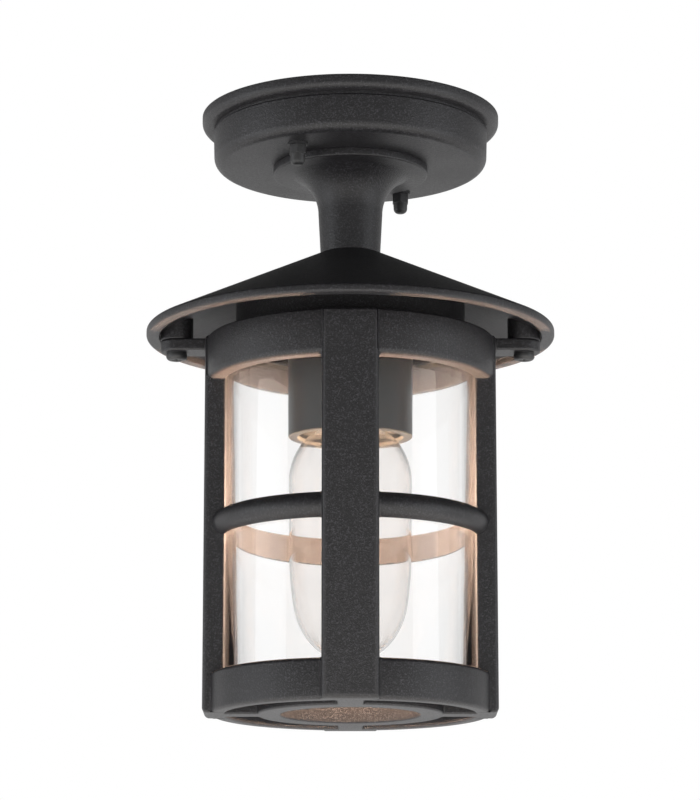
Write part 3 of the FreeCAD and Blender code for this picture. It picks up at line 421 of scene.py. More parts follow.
class Graph:
    """The nodes of one material or world."""

    def __init__(self, tree):
        self.tree = tree
        tree.nodes.clear()

    def node(self, kind, settings=None, sockets=None, output=0):
        """Adds a node of any kind, sets it up, feeds its sockets, and returns one of its outputs."""
        made = self.tree.nodes.new(kind)
        for key, value in (settings or {}).items():
            if key == "stops":
                ramp = made.color_ramp.elements
                while len(ramp) < len(value):
                    ramp.new(1.0)
                for element, (place, shade) in zip(ramp, value):
                    element.position = place
                    element.color = (shade, shade, shade, 1.0)
            else:
                setattr(made, key, value)
        for key, value in (sockets or {}).items():
            if isinstance(value, Signal):
                self.tree.links.new(value.socket, made.inputs[key])
            else:
                made.inputs[key].default_value = value
        return Signal(self, made.outputs[output]) if made.outputs else None

    def maths(self, operation, first, second):
        """One Math node on two numbers or sockets."""
        return self.node("ShaderNodeMath", {"operation": operation}, {0: first, 1: second})

    def noise(self, where, size, detail=2.0, roughness=0.5):
        """Noise whose grain is about that many metres across."""
        return self.node("ShaderNodeTexNoise", None, {
            "Vector": where, "Scale": 1.0 / size, "Detail": detail, "Roughness": roughness})

    def levels(self, value, *stops):
        """A ramp of greys over a value: each stop is a place and a shade."""
        return self.node("ShaderNodeValToRGB", {"stops": stops}, {"Fac": value})

    def blend(self, mask, first, second):
        """A colour between two others."""
        return self.node("ShaderNodeMix", {"data_type": "RGBA"}, {0: mask, 6: first, 7: second}, output=2)

    def mix_shaders(self, mask, first, second):
        """A shader between two others."""
        return self.node("ShaderNodeMixShader", None, {0: mask, 1: first, 2: second})

    def eased(self, value, low, high, at_low=0.0, at_high=1.0):
        """Goes smoothly from one number to another while the value crosses a range."""
        return self.node("ShaderNodeMapRange", {"interpolation_type": "SMOOTHSTEP"}, {
            "Value": value, "From Min": low, "From Max": high, "To Min": at_low, "To Max": at_high})

    def seen_by_camera(self):
        """1 where the camera looks, straight or through glass, and 0 for every other ray."""
        camera = self.node("ShaderNodeLightPath", output="Is Camera Ray")
        through = self.node("ShaderNodeLightPath", output="Is Transmission Ray")
        return self.maths("MAXIMUM", camera, through)


def colour(*parts):
    """Three parts, or a tuple of them, as a socket's colour."""
    return (*parts, 1.0) if len(parts) == 3 else (*parts[0], 1.0)


def finish(name, build):
    """The material of that name, made by build the first time it is asked for."""
    made = bpy.data.materials.get(name)
    if made is None:
        made = bpy.data.materials.new(name)
        made.use_nodes = True
        graph = Graph(made.node_tree)
        shader = build(graph, graph.node("ShaderNodeTexCoord", output="Object"))
        graph.node("ShaderNodeOutputMaterial", None, {"Surface": shader})
    return made


def surface(graph, sockets):
    """The shader that every solid finish ends in."""
    return graph.node("ShaderNodeBsdfPrincipled", None, sockets)


def bump(graph, height, depth, strength):
    """The normal over a height of at most that depth, in metres."""
    return graph.node("ShaderNodeBump", None, {"Strength": strength, "Distance": depth, "Height": height})


def powder_coat(graph, where):
    """Black textured powder coat: fine grain in its bumps, painted glints (lighter specks in its colour) on
    that grain, and a soft sheen.
    """
    settings = bpy.context.scene.lantern_finish
    grain = graph.noise(where, settings.coat_grain, 2.0, 0.6)
    pits = graph.noise(where, settings.coat_grain * 1.9, 2.0, 0.6)
    clouds = graph.noise(where, 0.03, 2.0)
    # The lighter specks are painted glints: colour that stands in for light caught by the grain.
    painted_glints = graph.levels(grain * 0.65 + pits * 0.35, (0.50, 0.0), (0.66, 1.0))
    shade = graph.blend(painted_glints, colour(settings.coat_colour), colour(settings.coat_painted_glint))
    return surface(graph, {
        "Base Color": graph.blend(clouds * 0.5, shade, colour(Vector(settings.coat_colour) * 1.25)),
        "Roughness": settings.coat_roughness + (pits - 0.5) * 0.28 + (clouds - 0.5) * 0.10,
        "Normal": bump(graph, grain * 0.7 + pits * 0.7, 0.00022, 1.0),
        "IOR": 1.46,
    })


def cover_paint(graph, where):
    """Black stove paint on the lampholder cover, smoother than the castings."""
    grain = graph.noise(where, 0.0006, 3.0, 0.6)
    drift = graph.noise(where, 0.012, 2.0)
    return surface(graph, {
        "Base Color": graph.blend(drift, colour(0.022, 0.021, 0.020), colour(0.036, 0.034, 0.032)),
        "Roughness": 0.30 + grain * 0.14,
        "Normal": bump(graph, grain, 0.00006, 0.7),
        "IOR": 1.5,
    })


def black_steel(graph, where):
    """Blackened steel fasteners with tool marks and rubbed high spots."""
    grain = graph.noise(where, 0.0004, 3.0, 0.6)
    rubbed = graph.levels(graph.noise(where, 0.0022, 4.0, 0.7), (0.56, 0.0), (0.74, 1.0))
    return surface(graph, {
        "Base Color": graph.blend(rubbed, colour(0.020, 0.020, 0.021), colour(0.075, 0.073, 0.072)),
        "Roughness": 0.36 + grain * 0.16,
        "Metallic": rubbed * 0.5,
        "Normal": bump(graph, grain, 0.00005, 0.6),
    })


def metal(light, dark, rough):
    """A bare or plated metal whose tone and polish drift a little."""
    def build(graph, where):
        grain = graph.noise(where, 0.0005, 3.0, 0.6)
        drift = graph.noise(where, 0.006, 3.0)
        return surface(graph, {
            "Base Color": graph.blend(drift, colour(dark), colour(light)),
            "Metallic": 1.0,
            "Roughness": rough + (grain - 0.5) * 0.16,
            "Normal": bump(graph, grain, 0.00003, 0.5),
        })
    return build


def moulded(light, dark, rough, grain_size=0.0005, depth=0.00004, coat=0.0):
    """A moulded, glazed or foamed part."""
    def build(graph, where):
        grain = graph.noise(where, grain_size, 3.0, 0.6)
        drift = graph.noise(where, 0.010, 3.0)
        return surface(graph, {
            "Base Color": graph.blend(drift, colour(dark), colour(light)),
            "Roughness": rough + (grain - 0.5) * 0.12,
            "Coat Weight": coat,
            "Normal": bump(graph, grain, depth, 0.6),
        })
    return build


def blown(tint, ripple, rough, bending):
    """Clear glass that lets the lamp's light out: its shadows are only tinted."""
    def build(graph, where):
        waves = graph.noise(where, ripple, 2.0, 0.4)
        seeds = graph.noise(where, 0.004, 2.0, 0.5)
        glass = surface(graph, {
            "Base Color": colour(tint),
            "Roughness": rough + seeds * 0.02,
            "Normal": bump(graph, waves, 0.0006, 0.35),
            "Transmission Weight": 1.0,
            "Specular IOR Level": 0.35,
            "IOR": bending,
        })
        clear = graph.node("ShaderNodeBsdfTransparent", None, {"Color": colour(tint)})
        shadow = graph.node("ShaderNodeLightPath", output="Is Shadow Ray")
        return graph.mix_shaders(shadow, glass, clear)
    return build


def glowing_wire(graph, where):
    """The filament, lit."""
    flicker = graph.noise(where, 0.002, 1.0)
    glow = graph.blend(flicker, colour(1.0, 0.72, 0.42), colour(1.0, 0.84, 0.62))
    return surface(graph, {
        "Base Color": colour(0.5, 0.45, 0.4), "Metallic": 1.0, "Roughness": 0.5,
        "Emission Color": glow, "Emission Strength": bpy.context.scene.lantern_finish.filament_glow,
    })


BUILDERS = {
    "cast_black": powder_coat,
    "cover_black": cover_paint,
    "black_steel": black_steel,
    "plated_steel": metal((0.72, 0.72, 0.70), (0.50, 0.50, 0.50), 0.34),
    "brass_parts": metal((0.80, 0.60, 0.30), (0.58, 0.42, 0.20), 0.30),
    "terminal_plastic": moulded((0.78, 0.76, 0.70), (0.66, 0.64, 0.58), 0.45),
    "porcelain": moulded((0.86, 0.85, 0.81), (0.78, 0.77, 0.72), 0.18, 0.0012, 0.00003, 0.6),
    "gasket_rubber": moulded((0.030, 0.029, 0.028), (0.018, 0.018, 0.018), 0.75, 0.0007, 0.0001),
    "clear_glass": blown((0.994, 0.992, 0.989), 0.045, 0.015, 1.47),
    "lamp_glass": blown((0.990, 0.976, 0.966), 0.060, 0.01, 1.28),
    "lamp_metal": metal((0.80, 0.79, 0.76), (0.66, 0.65, 0.62), 0.28),
    "black_glass": moulded((0.020, 0.018, 0.022), (0.010, 0.009, 0.012), 0.12, 0.001, 0.00002, 0.5),
}


def slot_finish(slot):
    """The finish that stands for one of the record's material slots."""
    return finish(slot + "_finish", BUILDERS[slot])


# What a user may change

class LanternShape(bpy.types.PropertyGroup):
    """Sizes of the modelled pieces."""

    turning_steps: bpy.props.IntProperty(
        name="Turning Steps", description="Faces round each turned piece", default=160, min=24, max=256)
    casting_edge: bpy.props.FloatProperty(
        name="Casting Edge", description="Width of the softened edges on the castings",
        default=0.0009, min=0.0001, max=0.0015, unit="LENGTH", subtype="DISTANCE")
    band_round: bpy.props.FloatProperty(
        name="Band Rounding", description="Rounding on the outer edges of the cage's bands, in millimetres",
        default=2.1, min=0.5, max=2.5)
    post_round: bpy.props.FloatProperty(
        name="Post Rounding", description="Rounding on the outer edges of the posts, in millimetres",
        default=2.6, min=0.5, max=4.0)


class LanternFinish(bpy.types.PropertyGroup):
    """Colours and grain of the finishes."""

    coat_colour: bpy.props.FloatVectorProperty(
        name="Coat Colour", description="Colour of the powder coat", subtype="COLOR",
        size=3, min=0.0, max=1.0, default=(0.0105, 0.0101, 0.0111))
    # The colour of the painted glints on the coat's grain.
    coat_painted_glint: bpy.props.FloatVectorProperty(
        name="Coat Painted Glint", description="Colour of the grain that catches the light", subtype="COLOR",
        size=3, min=0.0, max=1.0, default=(0.058, 0.056, 0.064))
    coat_grain: bpy.props.FloatProperty(
        name="Coat Grain", description="Size of the powder coat's grain",
        default=0.00064, min=0.0002, max=0.003, unit="LENGTH", subtype="DISTANCE")
    coat_roughness: bpy.props.FloatProperty(
        name="Coat Roughness", description="Roughness of the powder coat",
        default=0.42, min=0.1, max=1.0, subtype="FACTOR")
    filament_glow: bpy.props.FloatProperty(
        name="Filament Glow", description="Brightness of the lit filament",
        default=9.0, min=0.0, max=60.0)


class LanternStage(bpy.types.PropertyGroup):
    """The floor, the light and the camera."""

    floor_level: bpy.props.FloatProperty(
        name="Floor Level", description="Height of the floor, below the ceiling",
        default=-2.0, min=-3.0, max=-0.4, unit="LENGTH", subtype="DISTANCE")
    floor_colour: bpy.props.FloatVectorProperty(
        name="Floor Colour", description="Colour of the floor", subtype="COLOR",
        size=3, min=0.0, max=1.0, default=(0.82, 0.82, 0.81))
    left_light: bpy.props.FloatProperty(
        name="Left Light", description="Power of the soft light on the left",
        default=6.2, min=0.0, unit="POWER")
    right_light: bpy.props.FloatProperty(
        name="Right Light", description="Power of the soft light on the right",
        default=5.4, min=0.0, unit="POWER")
    low_light: bpy.props.FloatProperty(
        name="Low Light", description="Power of the soft light below the lantern",
        default=24.0, min=0.0, unit="POWER")
    lamp_light: bpy.props.FloatProperty(
        name="Lamp Light", description="Power of the lantern's own lamp",
        default=14.0, min=0.0, unit="POWER")
    lens: bpy.props.FloatProperty(
        name="Lens", description="Focal length of the camera, in millimetres",
        default=146.6, min=20.0, max=400.0, unit="CAMERA")


# Operators

class LANTERN_OT_pan(bpy.types.Operator):
    """Turn the ceiling pan: flange, shadow groove, drum and rounded foot"""

    bl_idname = "lantern.pan"
    bl_label = "Ceiling Pan"

    def execute(self, context):
        pan = turned("pan_shell", rounded([
            (67.1, 0), (GASKET_INNER, 0), (GASKET_INNER, GASKET_SEAT), (GASKET_OUTER, GASKET_SEAT),
            (GASKET_OUTER, 0), (PAN_EDGE, 0, 0.5), (PAN_EDGE, FLANGE_FOOT, 3.4),
            (GROOVE, FLANGE_FOOT), (GROOVE, GROOVE_FOOT), (DRUM, GROOVE_FOOT - 0.7, 0.4),
            (DRUM - 0.5, PAN_FOOT, 5.0), (WIRE_HOLE, PAN_FOOT), (WIRE_HOLE, PAN_FOOT + PAN_WALL),
            (66.6, PAN_FOOT + PAN_WALL, 2.5),
        ], 8))
        dress(pan, ["ceiling_pan"], "cast_black")
        return {"FINISHED"}


class LANTERN_OT_stem(bpy.types.Operator):
    """Turn the stem: disc, trumpet flare and tapered neck"""

    bl_idname = "lantern.stem"
    bl_label = "Stem"

    def execute(self, context):
        flare = [(29.7, DISC_FOOT)]
        flare += arc(flare[0], (16.2, -51.0), 22.0, 1, 16)
        section = rounded([
            (STEM_BORE, PAN_FOOT), (DISC, PAN_FOOT, 0.3), (DISC, DISC_FOOT, 1.0), flare[0],
        ], 5)
        section += flare[1:] + [
            (NECK_FOOT, ROOF_TOP), (TUBE_HOLE, ROOF_TOP), (TUBE_HOLE, NECK_SOCKET),
            (STEM_BORE, NECK_SOCKET),
        ]
        dress(turned("stem_casting", section), ["stem"], "cast_black")
        return {"FINISHED"}


class LANTERN_OT_roof(bpy.types.Operator):
    """Turn the conical roof with its stepped lip, add its screw bosses, and turn the collar under it"""

    bl_idname = "lantern.roof"
    bl_label = "Roof"

    def execute(self, context):
        roof = turned("roof_casting", rounded([
            (TUBE_HOLE, ROOF_TOP), (NECK_FOOT, ROOF_TOP), (ROOF_EDGE, roof_level(ROOF_EDGE), 1.4),
            (ROOF_EDGE, ROOF_FOOT, 1.4), (LIP_INNER, ROOF_FOOT, 0.4), (*under_roof(LIP_INNER), 0.6),
            under_roof(COLLAR_OUTER), (COLLAR_INNER, under_roof(COLLAR_OUTER)[1]), under_roof(COLLAR_INNER),
            (*under_roof(HUB), 1.0), (HUB, HUB_FOOT, 0.5), (TUBE_HOLE, HUB_FOOT),
        ]))
        inside = roof_level(SCREW_DISTANCE - BOSS)
        boss = turned("boss", rounded([
            (0, inside), (BOSS, inside), (BOSS, CAGE_TOP, 0.5), (BOSS_HOLE, CAGE_TOP, 0.3),
            (BOSS_HOLE, BOSS_HOLE_END), (0, BOSS_HOLE_END),
        ], 4), (SCREW_DISTANCE, 0), SMALL_STEPS)
        # The bosses end inside the roof's wall.
        rim, sunk = ROOF_EDGE - 0.5, 2.0
        below = turned("below", [
            (0, CAGE_TOP - 2.0), (rim, CAGE_TOP - 2.0), (rim, roof_level(rim) - sunk),
            (NECK_FOOT, ROOF_TOP - sunk), (0, ROOF_TOP - sunk),
        ])
        combine(boss, [below], "INTERSECT")
        combine(roof, copies_round(boss, 2), "UNION")
        dress(settle(roof), ["roof"], "cast_black")
        collar = turned("collar_ring", rounded([
            (COLLAR_INNER, COLLAR_SEAT), (COLLAR_OUTER, COLLAR_SEAT),
            (COLLAR_OUTER, COLLAR_FOOT + 1.5, 0.8), (COLLAR_RIM, COLLAR_FOOT + 1.5, 0.4),
            (COLLAR_RIM, COLLAR_FOOT, 0.4), (COLLAR_INNER, COLLAR_FOOT, 0.5),
        ], 4))
        dress(collar, ["roof_collar"], "cast_black")
        return {"FINISHED"}


class LANTERN_OT_cage(bpy.types.Operator):
    """Cast the cage: bands, half-round ring, flat-faced posts, ears and slotted base in one piece"""

    bl_idname = "lantern.cage"
    bl_label = "Cage"

    def execute(self, context):
        edge = shape().band_round
        # The members start inside the bore, which is cut through all of them afterwards.
        inner = BORE - 1.0
        ring = [(inner, MIDDLE_RING - RING_HALF), (BORE, MIDDLE_RING - RING_HALF)]
        ring += arc(ring[-1], (BAND_OUTER, MIDDLE_RING), RING_ROUND, 1)
        ring += arc(ring[-1], (BORE, MIDDLE_RING + RING_HALF), RING_ROUND, 1)
        ring.append((inner, MIDDLE_RING + RING_HALF))
        cage = turned("cage_casting", rounded([
            (BASE_HOLE, LEDGE, 0.4), (BASE_HOLE, CAGE_FOOT, 0.8), (BAND_OUTER, CAGE_FOOT, edge),
            (BAND_OUTER, BAND_TOP, edge), (inner, BAND_TOP), (inner, LEDGE),
        ]))
        members = [
            turned("top_band", rounded([
                (inner, CAGE_TOP - TOP_BAND_HEIGHT),
                (TOP_BAND_OUTER, CAGE_TOP - TOP_BAND_HEIGHT, edge * 1.4),
                (TOP_BAND_OUTER, CAGE_TOP, edge / 2), (inner, CAGE_TOP),
            ])),
            turned("middle_ring", ring),
        ]
        post = block("post", (BORE - 5.0, -POST_HALF, CAGE_FOOT), (POST_FACE, POST_HALF, CAGE_TOP),
                     shape().post_round,
                     lambda a, b: min(a.x, b.x) > POST_FACE - 1.0 and min(a.z, b.z) < CAGE_FOOT + 1.0)
        members += copies_round(post, 4)
        # The ears' ends are a hair less than round, so that their two roundings don't meet.
        reach = SCREW_DISTANCE + BOSS
        ear = block("ear", (POST_FACE - 2.0, -BOSS, EAR_FOOT + WASHER_GAP), (reach, BOSS, CAGE_TOP),
                    BOSS - 0.02, lambda a, b: min(a.x, b.x) > reach - 1.0 and abs(a.z - b.z) > 1.0, 14)
        members += copies_round(ear, 2)
        combine(cage, members, "UNION")
        bore = turned("bore", [(0, LEDGE), (BORE, LEDGE), (BORE, CAGE_TOP + 5.0), (0, CAGE_TOP + 5.0)])
        combine(cage, [bore], "DIFFERENCE")
        slots = turned("slots", [
            (SLOT_INNER, CAGE_FOOT - 3.0), (SLOT_OUTER, CAGE_FOOT - 3.0), (SLOT_OUTER, SLOT_STEP),
            (SLOT_UPPER, SLOT_STEP), (SLOT_UPPER, LEDGE + 3.0), (SLOT_INNER, LEDGE + 3.0),
        ])
        spokes = [
            block("spoke_x", (-70, -SPOKE_HALF, CAGE_FOOT - 4.0), (70, SPOKE_HALF, LEDGE + 4.0)),
            block("spoke_y", (-SPOKE_HALF, -70, CAGE_FOOT - 4.0), (SPOKE_HALF, 70, LEDGE + 4.0)),
        ]
        combine(cage, [combine(slots, spokes, "DIFFERENCE")], "DIFFERENCE")
        holes = [
            turned(f"hole_{side}", [
                (0, EAR_FOOT - 2.0), (EAR_HOLE, EAR_FOOT - 2.0),
                (EAR_HOLE, CAGE_TOP + 2.0), (0, CAGE_TOP + 2.0),
            ], (SCREW_DISTANCE * side, 0), HOLE_STEPS)
            for side in (-1, 1)
        ]
        combine(cage, holes, "DIFFERENCE")
        settle(cage)
        soften(cage, shape().casting_edge)
        nodes = [name for name in sorted(NODES) if name.startswith("cage_")]
        dress(cage, nodes, "cast_black")
        return {"FINISHED"}


class LANTERN_OT_glass(bpy.types.Operator):
    """Draw the clear glass cylinder with fire-polished edges"""

    bl_idname = "lantern.glass"
    bl_label = "Glass Cylinder"

    def execute(self, context):
        glass = turned("glass_tube", rounded([
            (GLASS_INNER, GLASS_FOOT, 0.9), (GLASS_OUTER, GLASS_FOOT, 0.9),
            (GLASS_OUTER, GLASS_TOP, 0.9), (GLASS_INNER, GLASS_TOP, 0.9),
        ], 5), steps=GLASS_STEPS)
        dress(glass, ["glass_cylinder"], "clear_glass")
        return {"FINISHED"}


class LANTERN_OT_holder(bpy.types.Operator):
    """Turn the lampholder's deep cover with its lip"""

    bl_idname = "lantern.holder"
    bl_label = "Lampholder"

    def execute(self, context):
        cover = turned("holder_cover", rounded([
            (TUBE_HOLE, HUB_FOOT), (COVER_OUTER, HUB_FOOT, 0.8), (COVER_OUTER, COVER_MOUTH, 0.8),
            (COVER_LIP, COVER_MOUTH, 0.5), (COVER_LIP, COVER_MOUTH + 1.8, 0.5),
            (COVER_OUTER - COVER_WALL, COVER_MOUTH + 4.2), (COVER_OUTER - COVER_WALL, HUB_FOOT - COVER_WALL),
            (TUBE_HOLE, HUB_FOOT - COVER_WALL),
        ], 5))
        dress(cover, ["lampholder_cover"], "cover_black")
        return {"FINISHED"}


class LANTERN_OT_lamp(bpy.types.Operator):
    """Blow the lamp's envelope: neck, throat, shoulder, side and round end"""

    bl_idname = "lantern.lamp"
    bl_label = "Lamp"

    def execute(self, context):
        outside = [(12.6, LAMP_NECK), (12.6, -161.6)]
        for end, radius, bend, steps in (
                ((22.0, -169.0), 40.0, 1, 6), ((30.5, -189.5), 29.0, -1, 12), ((30.5, -223.0), 0, 0, 1),
                ((28.4, -249.2), 164.0, -1, 8), ((16.6, -269.0), 31.3, -1, 12),
                ((0.0, -273.4), 33.6, -1, 8)):
            outside += arc(outside[-1], end, radius, bend, steps) if radius else [end]
        inside = [(0.0, -272.5)]
        for end, radius, bend, steps in (
                ((16.15, -268.1), 33.6, 1, 8), ((27.5, -249.2), 31.3, 1, 12), ((29.6, -223.0), 164.0, 1, 8),
                ((29.6, -189.5), 0, 0, 1), ((21.1, -169.45), 29.0, 1, 12), ((11.7, -161.6), 40.0, -1, 6)):
            inside += arc(inside[-1], end, radius, bend, steps) if radius else [end]
        tip = [(AXIS * 1.5, -273.4), (AXIS * 1.5, -272.5)]
        section = outside[:-1] + tip + inside[1:] + [(11.7, LAMP_NECK)]
        lamp = turned("lamp_bulb", section, steps=LAMP_STEPS)
        dress(lamp, ["lamp_envelope"], "lamp_glass")
        return {"FINISHED"}


class LANTERN_OT_nuts(bpy.types.Operator):
    """Make the two cap nuts under the pan: a chamfered hexagon, a dome and a blind hole"""

    bl_idname = "lantern.nuts"
    bl_label = "Cap Nuts"

    def execute(self, context):
        foot, tip = NUT_SEAT - NUT_HEXAGON, NUT_SEAT - NUT_HEIGHT
        x, y = NEAR_NUT
        bpy.ops.object.select_all(action="DESELECT")
        bpy.ops.mesh.primitive_circle_add(
            vertices=6, radius=NUT_FLATS / math.sqrt(3) * MM, fill_type="NGON",
            location=(x * MM, y * MM, NUT_SEAT * MM))
        near = bpy.context.object
        near.name = "near_cap_nut"
        bpy.ops.object.mode_set(mode="EDIT")
        bpy.ops.mesh.extrude_region_move(TRANSFORM_OT_translate={"value": (0, 0, -NUT_HEXAGON * MM)})
        bpy.ops.object.mode_set(mode="OBJECT")
        settle(near)
        chamfer = turned("chamfer", [
            (0, foot - 0.1), (4.02, foot - 0.1), (5.4, foot + 0.9),
            (5.4, NUT_SEAT - 0.5), (4.2, NUT_SEAT + 0.3), (0, NUT_SEAT + 0.3),
        ], NEAR_NUT, SMALL_STEPS)
        combine(near, [chamfer], "INTERSECT")
        dome = turned("dome", rounded([
            (0, tip), (3.4, tip, 2.4), (NUT_DOME, foot + 0.05, 0.2), (NUT_DOME, foot + 1.0), (0, foot + 1.0),
        ], 8), NEAR_NUT, SMALL_STEPS)
        combine(near, [dome], "UNION")
        hole = turned("hole", [
            (0, NUT_SEAT + 1.0), (NUT_HOLE, NUT_SEAT + 1.0), (NUT_HOLE, tip + 1.0), (0, tip + 1.0),
        ], NEAR_NUT, HOLE_STEPS)
        combine(near, [hole], "DIFFERENCE")
        soften(settle(near), NUT_EDGE)
        far = moved_copy(near, "far_cap_nut", -2 * x, -2 * y)
        dress(near, ["cap_nut_near"], "black_steel")
        dress(far, ["cap_nut_far"], "black_steel")
        return {"FINISHED"}


class LANTERN_OT_screws(bpy.types.Operator):
    """Make the two pan head screws under the ears, each with a tapered cross recess"""

    bl_idname = "lantern.screws"
    bl_label = "Ear Screws"

    def execute(self, context):
        face, x = SCREW_SEAT - HEAD_HEIGHT, -SCREW_DISTANCE
        left = turned("left_ear_screw", rounded([
            (0, face), (SCREW_HEAD, face, 1.9), (SCREW_HEAD, SCREW_SEAT, 0.25),
            (SCREW_SHANK, SCREW_SEAT), (SCREW_SHANK, SCREW_END, 0.5), (0, SCREW_END),
        ], 8), (x, 0), SMALL_STEPS)
        for along, across in ((2.7, 0.65), (0.65, 2.7)):
            arm = block("arm", (x - along, -across, face - 0.4), (x + along, across, face + RECESS_DEPTH))
            select_only(arm)
            bpy.ops.object.mode_set(mode="EDIT")
            bpy.ops.mesh.select_mode(type="FACE")
            bpy.ops.mesh.select_all(action="DESELECT")
            mesh = bmesh.from_edit_mesh(arm.data)
            for top in mesh.faces:
                top.select_set(top.calc_center_median().z > (face + RECESS_DEPTH - 0.1) * MM)
            bmesh.update_edit_mesh(arm.data)
            bpy.ops.transform.resize(value=(0.62, 0.62, 1.0), center_override=(x * MM, 0, 0))
            bpy.ops.object.mode_set(mode="OBJECT")
            combine(left, [arm], "DIFFERENCE")
        soften(settle(left), SCREW_EDGE)
        right = moved_copy(left, "right_ear_screw", 2 * SCREW_DISTANCE)
        dress(left, ["ear_screw_left"], "black_steel")
        dress(right, ["ear_screw_right"], "black_steel")
        return {"FINISHED"}


class LANTERN_OT_fittings(bpy.types.Operator):
    """Finish the fittings that keep their CAD shape"""

    bl_idname = "lantern.fittings"
    bl_label = "Fittings"

    def execute(self, context):
        for name, node in NODES.items():
            for holder in node.material_slots:
                slot = holder.material.name
                if slot in BUILDERS:
                    holder.material = (finish("glowing_wire", glowing_wire) if name == "lamp_filament"
                                       else slot_finish(slot))
        return {"FINISHED"}


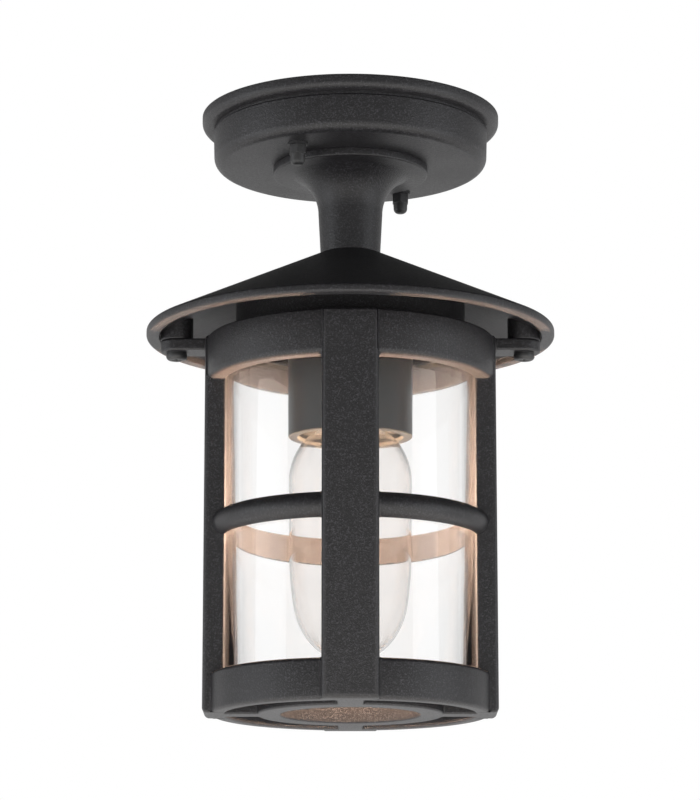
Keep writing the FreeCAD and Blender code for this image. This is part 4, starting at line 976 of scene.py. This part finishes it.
class LANTERN_OT_stage(bpy.types.Operator):
    """Lay the pale floor, set the soft studio light and aim the camera"""

    bl_idname = "lantern.stage"
    bl_label = "Stage"

    def execute(self, context):
        settings = context.scene.lantern_stage
        context.scene.view_settings.view_transform = "Standard"
        self.lay_floor(settings)
        self.set_world(context)
        self.add_softbox("left_softbox", (-1.5, -0.35, -0.25), (1.0, 1.2), settings.left_light)
        self.add_softbox("right_softbox", (1.5, -0.5, -0.2), (0.8, 1.2), settings.right_light)
        lamp = bpy.data.lights.new("lamp_light", "POINT")
        lamp.energy, lamp.color, lamp.shadow_soft_size = settings.lamp_light, LAMP_TONE, 0.010
        bulb = self.place(lamp, LAMP_MIDDLE)
        bulb.visible_camera = bulb.visible_glossy = bulb.visible_transmission = False
        self.add_softbox("low_softbox", (0, -0.2, -0.82), (2.2, 2.2), settings.low_light, WARM_TONE)
        camera = bpy.data.cameras.new("camera")
        camera.lens = settings.lens
        eye = self.place(camera, CAMERA_PLACE)
        eye.rotation_euler = (math.radians(90.0 + CAMERA_RISE), 0, 0)
        context.scene.camera = eye
        return {"FINISHED"}

    @staticmethod
    def place(data, where):
        """Puts a lamp or the camera in the scene."""
        made = bpy.data.objects.new(data.name, data)
        made.location = where
        bpy.context.scene.collection.objects.link(made)
        return made

    def add_softbox(self, name, where, size, power, tone=COOL_TONE):
        """A soft light that is aimed at the lantern and isn't seen itself."""
        light = bpy.data.lights.new(name, "AREA")
        light.shape, light.size, light.size_y, light.energy = "RECTANGLE", size[0], size[1], power
        light.color = tone
        box = self.place(light, where)
        box.rotation_mode = "QUATERNION"
        box.rotation_quaternion = (Vector(where) - Vector(LANTERN_MIDDLE)).to_track_quat("Z", "Y")
        box.visible_camera = box.visible_transmission = False

    @staticmethod
    def lay_floor(settings):
        """A pale round floor that fades out at its edge, and partly glows for the camera alone."""
        def build(graph, where):
            grain = graph.noise(where, 0.25, 3.0)
            light, dark = colour(settings.floor_colour), colour(Vector(settings.floor_colour) * 0.97)
            distance = graph.node(
                "ShaderNodeVectorMath", {"operation": "LENGTH"}, {0: where}, output="Value")
            fade = graph.eased(distance, FLOOR_EDGE - FLOOR_FADE, FLOOR_EDGE)
            floor = surface(graph, {"Base Color": graph.blend(grain, light, dark), "Roughness": 0.8})
            glow = graph.node("ShaderNodeEmission", None, {"Color": light})
            pale = graph.mix_shaders(graph.seen_by_camera() * FLOOR_GLOW, floor, glow)
            return graph.mix_shaders(fade, pale, graph.node("ShaderNodeBsdfTransparent"))
        bpy.ops.object.select_all(action="DESELECT")
        bpy.ops.mesh.primitive_circle_add(
            vertices=96, radius=FLOOR_EDGE, fill_type="NGON", location=(0, 0, settings.floor_level))
        floor = bpy.context.object
        floor.name = "floor"
        bpy.ops.object.transform_apply(location=True)
        floor.data.materials.append(finish("floor", build))

    @staticmethod
    def set_world(context):
        """A soft room that is dim overhead. The camera sees plain white in its place."""
        world = context.scene.world or bpy.data.worlds.new("studio")
        context.scene.world = world
        world.use_nodes = True
        graph = Graph(world.node_tree)
        where = graph.node("ShaderNodeTexCoord", output="Generated")
        height = graph.node("ShaderNodeSeparateXYZ", None, {0: where}, output="Z")
        depth = graph.node("ShaderNodeSeparateXYZ", None, {0: where}, output="Y")
        upper = graph.eased(height, 0.13, 0.44, 1.0, 0.12)
        front = graph.eased(depth, -0.6, 0.5, 0.85, 1.0)
        room = graph.node("ShaderNodeBackground", None, {"Strength": upper * front})
        white = graph.node("ShaderNodeBackground", None, {"Color": colour(1.0, 1.0, 1.0)})
        bounced = graph.node("ShaderNodeLightPath", output="Diffuse Depth")
        mirrored = graph.node("ShaderNodeLightPath", output="Glossy Depth")
        direct = graph.maths("LESS_THAN", bounced + mirrored, 0.5)
        backdrop = graph.mix_shaders(graph.seen_by_camera() * direct, room, white)
        graph.node("ShaderNodeOutputWorld", None, {"Surface": backdrop})


OPERATORS = (
    LANTERN_OT_pan, LANTERN_OT_stem, LANTERN_OT_roof, LANTERN_OT_cage, LANTERN_OT_glass, LANTERN_OT_holder,
    LANTERN_OT_lamp, LANTERN_OT_nuts, LANTERN_OT_screws, LANTERN_OT_fittings, LANTERN_OT_stage,
)


class LANTERN_PT_panel(bpy.types.Panel):
    """Lists the lantern's sizes, finishes and making steps"""

    bl_idname = "LANTERN_PT_panel"
    bl_label = "Porch Ceiling Lantern"
    bl_space_type = "VIEW_3D"
    bl_region_type = "UI"
    bl_category = "Lantern"

    def draw(self, context):
        scene = context.scene
        for group in (scene.lantern_shape, scene.lantern_finish, scene.lantern_stage):
            box = self.layout.box()
            for name in group.__annotations__:
                box.prop(group, name)
        for operator in OPERATORS:
            self.layout.operator(operator.bl_idname)


CLASSES = (LanternShape, LanternFinish, LanternStage, *OPERATORS, LANTERN_PT_panel)


def register():
    for kind in CLASSES:
        bpy.utils.register_class(kind)
    bpy.types.Scene.lantern_shape = bpy.props.PointerProperty(type=LanternShape)
    bpy.types.Scene.lantern_finish = bpy.props.PointerProperty(type=LanternFinish)
    bpy.types.Scene.lantern_stage = bpy.props.PointerProperty(type=LanternStage)


def unregister():
    del bpy.types.Scene.lantern_stage
    del bpy.types.Scene.lantern_finish
    del bpy.types.Scene.lantern_shape
    for kind in reversed(CLASSES):
        bpy.utils.unregister_class(kind)


def main():
    register()
    for step in ("pan", "stem", "roof", "cage", "glass", "holder", "lamp", "nuts", "screws",
                 "fittings", "stage"):
        getattr(bpy.ops.lantern, step)()


if __name__ == "__main__":
    main()
